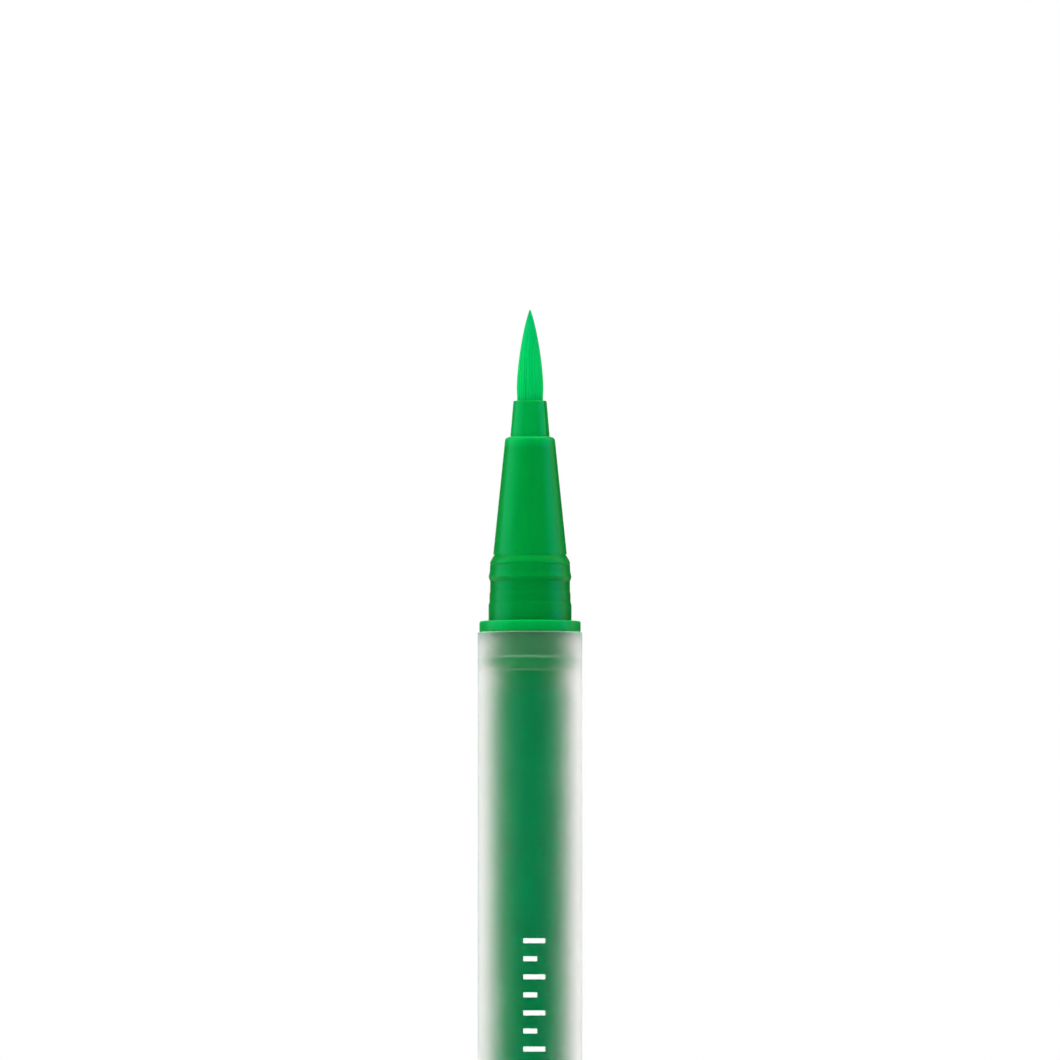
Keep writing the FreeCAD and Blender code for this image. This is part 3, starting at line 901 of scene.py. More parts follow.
def clear_bore(colours):
    """Inside of the tube, smooth, and wetted by what it holds, so that it bends light little."""
    name = "Clear Tube Bore"
    if name in bpy.data.materials:
        return bpy.data.materials[name]
    material, tree, shader, coordinates = new_material(name, colours.frost)
    flow = add_effect(tree, "Flow Marks", {"Vector": coordinates, "Scale": 700.0, "Stretch": 12.0})
    feed(tree, shader, {
        "Base Color": opaque(colours.frost), "Roughness": remap(tree, flow["Mask"], 0.0, 1.0, 0.04, 0.09),
        "IOR": 1.02, "Transmission Weight": 1.0, "Specular Tint": opaque(FROST_SHINE),
    })
    return material


def soaked_fibre(colours):
    """The reservoir's fibre bundle, soaked unevenly."""
    name = "Soaked Fibre Core"
    if name in bpy.data.materials:
        return bpy.data.materials[name]
    streak_share, blotch_share = 0.35, 0.3
    material, tree, shader, coordinates = new_material(name, colours.core)
    fibres = add_effect(tree, "Fibre Streaks", {
        "Vector": coordinates, "Scale": 7000.0, "Stretch": 40.0, "Depth": 0.02 * MM,
    })
    blotches = add_effect(tree, "Flow Marks", {"Vector": coordinates, "Scale": 230.0, "Stretch": 5.0})
    fine = calculate(tree, "MULTIPLY", fibres["Mask"], streak_share)
    broad = calculate(tree, "MULTIPLY", blotches["Mask"], blotch_share)
    dry = calculate(tree, "ADD", fine, broad, clamp=True)
    feed(tree, shader, {
        "Base Color": mix_colours(tree, dry, opaque(colours.core), opaque(colours.core_pale)),
        "Roughness": remap(tree, fibres["Mask"], 0.0, 1.0, 0.6, 0.85), "Normal": fibres["Normal"],
        "IOR": 1.4, "Specular Tint": opaque(GREEN_SHINE),
        "Sheen Weight": 1.0, "Sheen Roughness": 0.5, "Sheen Tint": (0.0, 1.0, 0.55, 1.0),
    })
    return material


def reservoir_film(colours):
    """The thin clear wrap round the fibre bundle."""
    name = "Clear Wrap Film"
    if name in bpy.data.materials:
        return bpy.data.materials[name]
    material, tree, shader, coordinates = new_material(name, colours.core_pale)
    handled = add_effect(tree, "Handling", {
        "Vector": coordinates, "Smear Scale": 320.0, "Speck Size": 0.0,
    })
    smears = handled["Smears"]
    feed(tree, shader, {
        "Base Color": mix_colours(tree, smears, opaque(colours.core), opaque(colours.core_pale)),
        "Roughness": remap(tree, smears, 0.0, 1.0, 0.2, 0.35),
        "Alpha": 0.2, "Specular Tint": opaque(GREEN_SHINE),
    })
    return material


def wick_fibre(colours):
    """The bonded fibre rod that feeds the brush."""
    name = "Wick Fibre"
    if name in bpy.data.materials:
        return bpy.data.materials[name]
    material, tree, shader, coordinates = new_material(name, colours.thin_and_lit)
    fibres = add_effect(tree, "Fibre Streaks", {
        "Vector": coordinates, "Scale": 16000.0, "Stretch": 50.0, "Depth": 0.01 * MM,
    })
    # The wick takes the lighter green of the painted light as its own colour
    feed(tree, shader, {
        "Base Color": mix_colours(tree, fibres["Mask"], opaque(colours.thin_and_lit), opaque(colours.core)),
        "Roughness": 0.7, "Normal": fibres["Normal"],
    })
    return material


def brush_fibre(pen, at):
    """Bright soaked nylon, each filament a little different, darker at the point and the root."""
    brush, colours = pen.brush, pen.colours
    name = "Brush Filaments"
    if name in bpy.data.materials:
        return bpy.data.materials[name]
    tone_share, streak_share = 0.2, 0.12
    material, tree, shader, coordinates = new_material(name, colours.tuft)
    number = add_node(tree, "ShaderNodeAttribute", attribute_name="filament")
    tone = add_node(
        tree, "ShaderNodeTexWhiteNoise", {"W": find_socket(number.outputs, "Fac")},
        noise_dimensions="1D",
    )
    fibres = add_effect(tree, "Fibre Streaks", {
        "Vector": coordinates, "Scale": 14000.0, "Stretch": 25.0, "Depth": 0.003 * MM,
    })
    height = add_node(tree, "ShaderNodeSeparateXYZ", {"Vector": coordinates}).outputs[2]
    to_point = remap(tree, height, at.tuft_tip - brush.point_length, at.tuft_tip)
    shade_top = at.holder_rim + brush.root_shade_length
    to_root = remap(tree, height, at.holder_rim, shade_top, brush.root_shade, 0.0)
    shade = calculate(tree, "MAXIMUM", to_point, to_root)
    shaded = mix_colours(tree, shade, opaque(colours.tuft), opaque(colours.tuft_point))
    varied = calculate(tree, "MULTIPLY", tone.outputs[0], tone_share)
    streaked = calculate(tree, "MULTIPLY", fibres["Mask"], streak_share)
    between = calculate(tree, "ADD", varied, streaked)
    feed(tree, shader, {
        "Base Color": mix_colours(tree, between, shaded, opaque(colours.tuft_deep)),
        "Roughness": remap(tree, tone.outputs[0], 0.0, 1.0, 0.35, 0.5), "Normal": fibres["Normal"],
        "IOR": 1.45, "Specular Tint": opaque(GREEN_SHINE), "Subsurface Weight": 0.1,
        "Subsurface Radius": (0.05, 1.0, 0.3), "Subsurface Scale": 0.25 * MM,
    })
    return material


def printed_ink(colours):
    """White screen ink, with a fine uneven skin."""
    name = "Printed White Ink"
    if name in bpy.data.materials:
        return bpy.data.materials[name]
    material, tree, shader, coordinates = new_material(name, colours.ink)
    grain = add_effect(tree, "Skin Grain", {
        "Vector": coordinates, "Scale": 16000.0, "Depth": 0.002 * MM, "Unevenness": 0.15,
    })
    thin_spots = add_effect(tree, "Handling", {
        "Vector": coordinates, "Smear Scale": 900.0, "Speck Scale": 6000.0, "Speck Size": 0.2,
    })
    roughness = 0.5
    worn = toned(colours.ink, 0.9)
    feed(tree, shader, {
        "Base Color": mix_colours(tree, thin_spots["Smears"], opaque(colours.ink), opaque(worn)),
        "Roughness": calculate(tree, "ADD", grain["Roughness"], roughness), "Normal": grain["Normal"],
    })
    return material


# Trees that repeat a form

def grown_piece(name, tree, values):
    """The plain mesh object that a Geometry Nodes tree makes from these inputs."""
    piece = bpy.data.objects.new(name, bpy.data.meshes.new(name))
    bpy.context.scene.collection.objects.link(piece)
    modifier = piece.modifiers.new(name, "NODES")
    modifier.node_group = tree
    identifiers = {
        item.name: item.identifier
        for item in tree.interface.items_tree
        if item.item_type == "SOCKET" and item.in_out == "INPUT"
    }
    for label, value in values.items():
        modifier[identifiers[label]] = value
    depsgraph = bpy.context.evaluated_depsgraph_get()
    mesh = bpy.data.meshes.new_from_object(
        piece.evaluated_get(depsgraph), preserve_all_data_layers=True, depsgraph=depsgraph,
    )
    empty_mesh = piece.data
    piece.modifiers.remove(modifier)
    piece.data = mesh
    mesh.name = name
    bpy.data.meshes.remove(empty_mesh)
    return piece


def numbered_copies(tree, points, form, attribute):
    """A form copied on each point and made real, and each copy's number, kept in an attribute."""
    copies = add_node(tree, "GeometryNodeInstanceOnPoints", {"Points": points, "Instance": form})
    counted = add_node(
        tree, "GeometryNodeStoreNamedAttribute",
        {"Geometry": copies.outputs[0], "Name": attribute,
         "Value": add_node(tree, "GeometryNodeInputIndex").outputs[0]},
        data_type="INT", domain="INSTANCE",
    )
    real = add_node(tree, "GeometryNodeRealizeInstances", {"Geometry": counted.outputs[0]})
    number = add_node(
        tree, "GeometryNodeInputNamedAttribute", {"Name": attribute}, data_type="INT",
    )
    return real.outputs[0], number.outputs[0]


def point_place(tree):
    """The X, Y and Z of each point."""
    position = add_node(tree, "GeometryNodeInputPosition").outputs[0]
    return add_node(tree, "ShaderNodeSeparateXYZ", {"Vector": position}).outputs


def end_tree(tree, geometry, material, result):
    """Ends a tree in plain geometry that carries its material."""
    plain = add_node(tree, "GeometryNodeRealizeInstances", {"Geometry": geometry})
    finished = add_node(tree, "GeometryNodeSetMaterial", {
        "Geometry": plain.outputs[0], "Material": material,
    })
    feed(tree, result, {"Geometry": finished.outputs[0]})


def filament_bundle_tree():
    """Filaments that fill the outside of a pointed bundle, each bent along the bundle's outline."""
    tree, given, result = new_group(
        "Filament Bundle", "GeometryNodeTree",
        [("Count", "NodeSocketInt", 300), ("Foot", "NodeSocketFloat", 0.0),
         ("Rim", "NodeSocketFloat", 0.0), ("Belly", "NodeSocketFloat", 0.0),
         ("Tip", "NodeSocketFloat", 0.01), ("Base Radius", "NodeSocketFloat", 0.001),
         ("Belly Radius", "NodeSocketFloat", 0.001), ("Curve Power", "NodeSocketFloat", 1.6),
         ("Curve Fullness", "NodeSocketFloat", 0.85), ("Inner Share", "NodeSocketFloat", 0.8),
         ("Filament Radius", "NodeSocketFloat", 0.0001), ("Point Share", "NodeSocketFloat", 0.3),
         ("Shortest Share", "NodeSocketFloat", 0.97), ("Wander", "NodeSocketFloat", 0.04),
         ("Rings", "NodeSocketInt", 24), ("Sides", "NodeSocketInt", 6), ("Seed", "NodeSocketInt", 0),
         ("Material", "NodeSocketMaterial", None)],
        [("Geometry", "NodeSocketGeometry")],
    )
    bearing_slack = 0.05
    waves = 2.2  # along a filament
    noise_span = 400.0  # in which each filament has its own stretch of the noise
    points = add_node(tree, "GeometryNodePoints", {"Count": given["Count"]})
    line = add_node(tree, "GeometryNodeCurvePrimitiveLine", {"Start": (0, 0, 0), "End": (0, 0, 1)})
    divided = add_node(tree, "GeometryNodeResampleCurve", {
        "Curve": line.outputs[0], "Count": given["Rings"],
    })
    curves, number = numbered_copies(tree, points.outputs[0], divided.outputs[0], "filament")

    def draw(low, high, offset):
        """A random value that is the same all along a filament."""
        node = add_node(tree, "FunctionNodeRandomValue", {
            "Min_001": low, "Max_001": high, "ID": number,
            "Seed": calculate(tree, "ADD", given["Seed"], offset),
        })
        return find_socket(node.outputs, "Value_001")

    # How far out each filament stands, its bearing and its height
    inner_area = calculate(tree, "POWER", given["Inner Share"], 2.0)
    rank = calculate(tree, "DIVIDE", calculate(tree, "ADD", number, 0.5), given["Count"])
    area = remap(tree, rank, 0.0, 1.0, inner_area, 1.0)
    spread = calculate(tree, "SQRT", area)
    golden_angle = math.pi * (3 - math.sqrt(5))
    turned = calculate(tree, "MULTIPLY", number, golden_angle)
    bearing = calculate(tree, "ADD", turned, draw(-bearing_slack, bearing_slack, 1))
    along = point_place(tree)["Z"]
    full_length = calculate(tree, "SUBTRACT", given["Tip"], given["Foot"])
    own_length = calculate(tree, "MULTIPLY", full_length, draw(given["Shortest Share"], 1.0, 2))
    height = calculate(tree, "MULTIPLY_ADD", along, own_length, given["Foot"])

    # The bundle's outline at that height
    lower = remap(
        tree, height, given["Rim"], given["Belly"], given["Base Radius"], given["Belly Radius"], smooth=True,
    )
    taper = remap(tree, height, given["Belly"], given["Tip"])
    tapered = calculate(tree, "POWER", taper, given["Curve Power"])
    remaining = calculate(tree, "SUBTRACT", 1.0, tapered, clamp=True)
    fullness = calculate(tree, "POWER", remaining, given["Curve Fullness"])
    outline = calculate(tree, "MULTIPLY", lower, fullness)

    # A filament thins towards the point, and its outer side touches the outline
    relative = calculate(tree, "DIVIDE", outline, given["Belly Radius"])
    thinning = remap(tree, relative, 0.0, 1.0, given["Point Share"], 1.0)
    thickness = calculate(tree, "MULTIPLY", given["Filament Radius"], thinning)
    inside = calculate(tree, "MAXIMUM", calculate(tree, "SUBTRACT", outline, thickness), 0.0)
    distance = calculate(tree, "MULTIPLY", inside, spread)
    own_noise = calculate(tree, "MULTIPLY_ADD", along, waves, draw(0.0, noise_span, 3))
    wave = add_node(
        tree, "ShaderNodeTexNoise", {"W": own_noise, "Scale": 1.0, "Detail": 1.0}, noise_dimensions="1D",
    )
    centred = calculate(tree, "SUBTRACT", wave.outputs[0], 0.5)
    half_wander = calculate(tree, "MULTIPLY", centred, given["Wander"])
    swayed = calculate(tree, "MULTIPLY_ADD", half_wander, 2.0, bearing)
    place = vector_of(
        tree,
        x=calculate(tree, "MULTIPLY", distance, calculate(tree, "SINE", swayed)),
        y=calculate(tree, "MULTIPLY", distance, calculate(tree, "COSINE", swayed)),
        z=height,
    )
    bent = add_node(tree, "GeometryNodeSetPosition", {"Geometry": curves, "Position": place})
    section = add_node(tree, "GeometryNodeCurvePrimitiveCircle", {
        "Resolution": given["Sides"], "Radius": 1.0,
    })
    tubes = add_node(tree, "GeometryNodeCurveToMesh", {
        "Curve": bent.outputs[0], "Profile Curve": section.outputs[0], "Scale": thickness,
        "Fill Caps": True,
    })
    smooth = add_node(tree, "GeometryNodeSetShadeSmooth", {"Geometry": tubes.outputs[0]})
    end_tree(tree, smooth.outputs[0], given["Material"], result)
    return tree


def scale_marks_tree():
    """A column of bars bent round a cylinder, long and short in turn."""
    tree, given, result = new_group(
        "Scale Marks", "GeometryNodeTree",
        [("Count", "NodeSocketInt", 12), ("Pitch", "NodeSocketFloat", 0.002),
         ("Top", "NodeSocketFloat", 0.1), ("Cylinder Radius", "NodeSocketFloat", 0.005),
         ("Start Angle", "NodeSocketFloat", 0.0), ("Long Width", "NodeSocketFloat", 0.002),
         ("Short Width", "NodeSocketFloat", 0.001), ("Thickness", "NodeSocketFloat", 0.0004),
         ("Proud", "NodeSocketFloat", 0.00002), ("Sunk", "NodeSocketFloat", 0.000004),
         ("Material", "NodeSocketMaterial", None)],
        [("Geometry", "NodeSocketGeometry")],
    )
    down = calculate(tree, "MULTIPLY", given["Pitch"], -1.0)
    column = add_node(tree, "GeometryNodeMeshLine", {
        "Count": given["Count"], "Start Location": vector_of(tree, z=given["Top"]),
        "Offset": vector_of(tree, z=down),
    })
    bar = add_node(tree, "GeometryNodeMeshCube", {
        "Size": vector_of(tree, 1.0, 1.0, given["Thickness"]),
        "Vertices X": 13, "Vertices Y": 2, "Vertices Z": 2,
    })
    bars, number = numbered_copies(tree, column.outputs[0], bar.outputs[0], "mark")
    place = point_place(tree)

    # The block's X becomes the bearing and its Y the depth of the ink
    odd = calculate(tree, "MODULO", number, 2.0)
    width = remap(tree, odd, 0.0, 1.0, given["Long Width"], given["Short Width"])
    across = calculate(tree, "MULTIPLY", calculate(tree, "ADD", place["X"], 0.5), width)
    turn = calculate(tree, "DIVIDE", across, given["Cylinder Radius"])
    bearing = calculate(tree, "ADD", turn, given["Start Angle"])
    inner = calculate(tree, "MULTIPLY", given["Sunk"], -1.0)
    lift = remap(tree, place["Y"], -0.5, 0.5, given["Proud"], inner)
    radius = calculate(tree, "ADD", given["Cylinder Radius"], lift)
    forward = calculate(tree, "MULTIPLY", calculate(tree, "COSINE", bearing), -1.0)
    wrapped = add_node(tree, "GeometryNodeSetPosition", {
        "Geometry": bars,
        "Position": vector_of(
            tree,
            x=calculate(tree, "MULTIPLY", radius, calculate(tree, "SINE", bearing)),
            y=calculate(tree, "MULTIPLY", radius, forward),
            z=place["Z"],
        ),
    })
    end_tree(tree, wrapped.outputs[0], given["Material"], result)
    return tree


# Outlines

def collar_corners(pen, at, flange_face, way):
    """The collar's outline from its flange (way +1 up, -1 down) to just before its shoulder."""
    c = pen.collar
    step_radius = at.waist_radius + c.step_land_rise
    root_radius = at.waist_radius + c.root_land_rise
    drafted = at.upper_land_radius - c.land_draft
    steps = (
        (0, root_radius, 0),
        (c.root_land_length, root_radius, 0),
        (c.ramp_length, step_radius, c.ramp_round),
        (c.step_land_length - c.ramp_length, step_radius - c.land_draft, c.ramp_round),
        (c.ramp_length, at.waist_radius, c.ramp_round),
        (c.waist_length - c.ramp_length, at.waist_radius - c.land_draft, 0),
        (c.ring_foot_length, at.ring_radius, c.ring_round),
        (c.ring_brow_length, at.upper_land_radius, 0),
        (c.upper_land_length, drafted, 0),
        (c.score_width / 2, drafted - c.score_depth, 0),
        (c.score_width / 2, drafted, 0),
    )
    height = flange_face
    corners = []
    for step_length, radius, rounding in steps:
        height += way * step_length
        corners.append((radius, height, rounding))
    return corners


def shoulder_corners(pen, at, collar_end, way):
    """The collar's end, which slopes in before it rounds over."""
    c = pen.collar
    return [
        (at.shoulder_radius, collar_end - way * c.shoulder_slope_length, c.shoulder_round),
        (at.shoulder_radius - c.shoulder_slope_inset, collar_end, c.shoulder_edge_round),
    ]


def collar_thinness_and_light(pen, distance):
    """The collar's wall thickness, with its painted shade and light, at a distance out from the flange, in
    straight stretches.
    """
    c, thin_and_lit = pen.collar, pen.thinness_and_light
    waist_end = c.root_land_length + c.step_land_length + c.waist_length
    crest = waist_end + c.ring_foot_length
    brow_end = crest + c.ring_brow_length
    score = brow_end + c.upper_land_length
    end = score + c.score_width + c.shoulder_length
    stops = (
        (0, thin_and_lit.root_land), (waist_end, thin_and_lit.waist_end), (crest, thin_and_lit.ring_crest),
        (brow_end, thin_and_lit.ring_brow), (score, thin_and_lit.score), (score + c.score_width, thin_and_lit.score),
        (end - c.shoulder_slope_length, thin_and_lit.shoulder_foot), (end, thin_and_lit.shoulder_top),
    )
    for (near, before), (far, after) in zip(stops, stops[1:]):
        if distance <= far:
            return before + (after - before) * max(0.0, distance - near) / (far - near)
    return thin_and_lit.shoulder_top


def stopper_thinness_and_light(pen, distance):
    """Painted shade and light on the stopper at a distance into the tube from its flange: dark at the neck's
    ends, paler in its middle.
    """
    spigot, thin_and_lit = pen.spigot, pen.thinness_and_light
    middle = spigot.neck_length / 2
    if distance < middle:
        return thin_and_lit.neck_root + (thin_and_lit.neck_middle - thin_and_lit.neck_root) * distance / middle
    if distance < spigot.neck_length:
        return thin_and_lit.neck_middle + (thin_and_lit.neck_end - thin_and_lit.neck_middle) * (distance - middle) / middle
    return 0.0


def flange_thinness_and_light(pen, distance):
    """Painted light on the flange's rim at a distance out from the tube, lighter away from it."""
    thin_and_lit = pen.thinness_and_light
    return thin_and_lit.flange_foot + (thin_and_lit.flange_top - thin_and_lit.flange_foot) * distance / pen.walls.flange_thickness


def front_section_corners(pen, at):
    """Nose cone, collar, flange and spigot, bored through in two steps."""
    spigot, nose, walls = pen.spigot, pen.nose, pen.walls
    cone_foot = at.nose_base + nose.groove_width
    groove_radius = at.nose_base_radius - nose.groove_depth
    cone_top = at.nose_top - nose.crown
    slope = (at.nose_base_radius - at.nose_tip_radius) / (cone_top - cone_foot)
    return [
        (at.main_bore_radius, at.nozzle_end, 0),
        (at.nozzle_radius, at.nozzle_end, spigot.edge_round),
        (at.nozzle_radius, at.nozzle_top, 0),
        (at.land_radius, at.nozzle_top, spigot.edge_round),
        (at.land_radius, at.barrel_top - spigot.neck_length, spigot.edge_round),
        (at.neck_radius, at.barrel_top - spigot.neck_length + spigot.neck_flare, spigot.neck_round),
        (at.neck_radius, at.barrel_top - spigot.neck_flare, spigot.neck_round),
        (at.land_radius, at.barrel_top, 0),
        (at.flange_radius, at.barrel_top, walls.flange_round),
        (at.flange_radius, at.collar_base, walls.flange_top_round),
        *collar_corners(pen, at, at.collar_base, 1),
        *shoulder_corners(pen, at, at.nose_base, 1),
        (groove_radius, at.nose_base, 0),
        (groove_radius, cone_foot, 0),
        (at.nose_base_radius, cone_foot, 0),
        (at.nose_tip_radius + slope * nose.lip_height, cone_top - nose.lip_height, 0),
        (at.nose_tip_radius, cone_top, nose.tip_round),
        (at.nose_bore_radius, at.nose_top, 0),
        (at.nose_bore_radius, at.holder_step, 0),
        (at.main_bore_radius, at.holder_step, 0),
    ]


def tail_plug_corners(pen, at):
    """The lower stopper with its post, hollow from above."""
    spigot, walls = pen.spigot, pen.walls
    collar = collar_corners(pen, at, at.cap_length, -1)
    return [
        (0, at.post_end + spigot.dimple_depth, 0),
        (spigot.dimple_radius, at.post_end + spigot.dimple_depth, 0),
        (spigot.dimple_radius + spigot.dimple_depth, at.post_end, 0),
        *reversed(shoulder_corners(pen, at, at.post_end, -1)),
        *reversed(collar),
        (at.flange_radius, at.cap_length, walls.flange_round),
        (at.flange_radius, at.barrel_bottom, walls.flange_round),
        (at.land_radius, at.barrel_bottom, 0),
        (at.neck_radius, at.barrel_bottom + spigot.neck_flare, spigot.neck_round),
        (at.neck_radius, at.barrel_bottom + spigot.neck_length - spigot.neck_flare, spigot.neck_round),
        (at.land_radius, at.barrel_bottom + spigot.neck_length, spigot.edge_round),
        (at.land_radius, at.plug_top, spigot.plug_round),
        (at.plug_bore_radius, at.plug_top, 0),
        (at.plug_bore_radius, at.post_end + spigot.plug_end_wall, 0),
        (0, at.post_end + spigot.plug_end_wall, 0),
    ]


def tip_holder_corners(pen, at):
    """The sleeve from its inner flange to its rim."""
    return [
        (at.counterbore_radius, at.holder_bottom, 0),
        (at.holder_flange_radius, at.holder_bottom, 0),
        (at.holder_flange_radius, at.holder_step, 0),
        (at.holder_shank_radius, at.holder_step, 0),
        (at.holder_shank_radius, at.nose_top, 0),
        (at.holder_rim_radius, at.holder_rim, pen.holder.rim_round),
        (at.holder_bore_radius, at.holder_rim, 0),
        (at.holder_bore_radius, at.root_top, 0),
        (at.counterbore_radius, at.root_top, 0),
    ]


def cap_shell_corners(pen, at):
    """The outer cup, with its recessed foot and the groove for the snap ring."""
    cap, collar = pen.cap, pen.collar
    ring_height = at.cap_length - (
        collar.root_land_length + collar.step_land_length + collar.waist_length + collar.ring_foot_length
    )
    return [
        (0, cap.foot_recess_depth, 0),
        (cap.foot_recess_radius, cap.foot_recess_depth, 0),
        (cap.foot_recess_radius + cap.foot_recess_depth, 0, 0),
        (at.pen_radius, 0, cap.base_round),
        (at.pen_radius, at.cap_length, cap.mouth_round),
        (at.cap_bore_radius, at.cap_length, cap.mouth_round),
        (at.cap_bore_radius, ring_height + collar.ring_foot_length, 0),
        (at.cap_bore_radius + cap.ring_groove_depth, ring_height, collar.ring_round),
        (at.cap_bore_radius, ring_height - collar.ring_brow_length, 0),
        (at.cap_bore_radius, cap.end_thickness, 0),
        (0, cap.end_thickness, 0),
    ]


def inner_cap_corners(pen, at):
    """The sealing cup that grips the cap near its rim."""
    cap, walls = pen.cap, pen.walls
    band_radius = at.cap_bore_radius - walls.press_clearance
    body_radius = cap.cup_bore_radius + cap.cup_wall
    nose_slope = (at.nose_base_radius - at.nose_tip_radius) / (at.nose_top - at.nose_base)
    rim_gap = at.post_end - at.inner_cap_rim
    rim_bore_radius = at.nose_base_radius - nose_slope * rim_gap + walls.nose_clearance
    band_bottom = at.inner_cap_rim - cap.cup_band_length
    return [
        (0, at.inner_cap_bottom, 0),
        (body_radius, at.inner_cap_bottom, cap.cup_round),
        (body_radius, band_bottom - cap.cup_lead_length, 0),
        (band_radius, band_bottom, 0),
        (band_radius, at.inner_cap_rim, pen.spigot.edge_round),
        (rim_bore_radius, at.inner_cap_rim, pen.spigot.edge_round),
        (cap.cup_bore_radius, band_bottom, 0),
        (cap.cup_bore_radius, at.inner_cap_bottom + cap.cup_floor, cap.cup_round),
        (0, at.inner_cap_bottom + cap.cup_floor, 0),
    ]


def tuft_radius(brush, at, height):
    """The bundle's outer radius at a height over the sleeve's rim."""
    belly = at.holder_rim + brush.belly_height
    if height <= belly:
        rise = max(0.0, (height - at.holder_rim) / brush.belly_height)
        smooth = rise * rise * (3 - 2 * rise)
        return brush.base_radius + (brush.belly_radius - brush.base_radius) * smooth
    taper = min(1.0, (height - belly) / (at.tuft_tip - belly))
    return brush.belly_radius * (1 - taper ** brush.curve_power) ** brush.curve_fullness


def tuft_core_corners(pen, at):
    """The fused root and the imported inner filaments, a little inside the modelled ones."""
    brush = pen.brush
    inner_share = 0.86  # of the bundle's radius
    tip_share = 0.9  # of the bundle's height
    steps = 24
    step_lift = 0.01 * MM  # keeps the first step clear of the foot
    pocket_radius = at.wick_radius - 0.13 * MM  # the wick's tip is slimmer than the wick
    foot = at.holder_rim - brush.sunk_length
    corners = [
        (0, at.wick_top, 0),
        (pocket_radius, at.wick_top, 0),
        (pocket_radius, at.root_bottom, 0),
        (at.root_radius, at.root_bottom, 0),
        (at.root_radius, at.root_top, 0),
        (brush.base_radius, at.root_top, 0),
        (brush.base_radius, foot, 0),
    ]
    reach = (at.tuft_tip - foot) * tip_share
    for i in range(steps):
        height = foot + reach * i / steps
        corners.append((inner_share * tuft_radius(brush, at, height), height + step_lift, 0))
    corners.append((0, foot + reach, 0))
    return corners


def groove_columns(holder, at):
    """Bearings of the sleeve's columns, with closely spaced ones at the air grooves' sides."""
    half_width = math.asin(holder.groove_width / 2 / at.holder_shank_radius)
    side = math.radians(0.35)  # over which a groove's side slopes
    centres = [holder.groove_angle + math.tau * i / holder.groove_count for i in range(holder.groove_count)]
    bearings = []
    for i in range(COLUMNS):
        bearing = math.tau * i / COLUMNS
        nearest = min(abs(math.remainder(bearing - centre, math.tau)) for centre in centres)
        if nearest > half_width + 2 * side:
            bearings.append(bearing)
    for centre in centres:
        for offset in (-half_width - side, -half_width, 0.0, half_width, half_width + side):
            bearings.append((centre + offset) % math.tau)
    return sorted(bearings), centres, half_width


# Operators

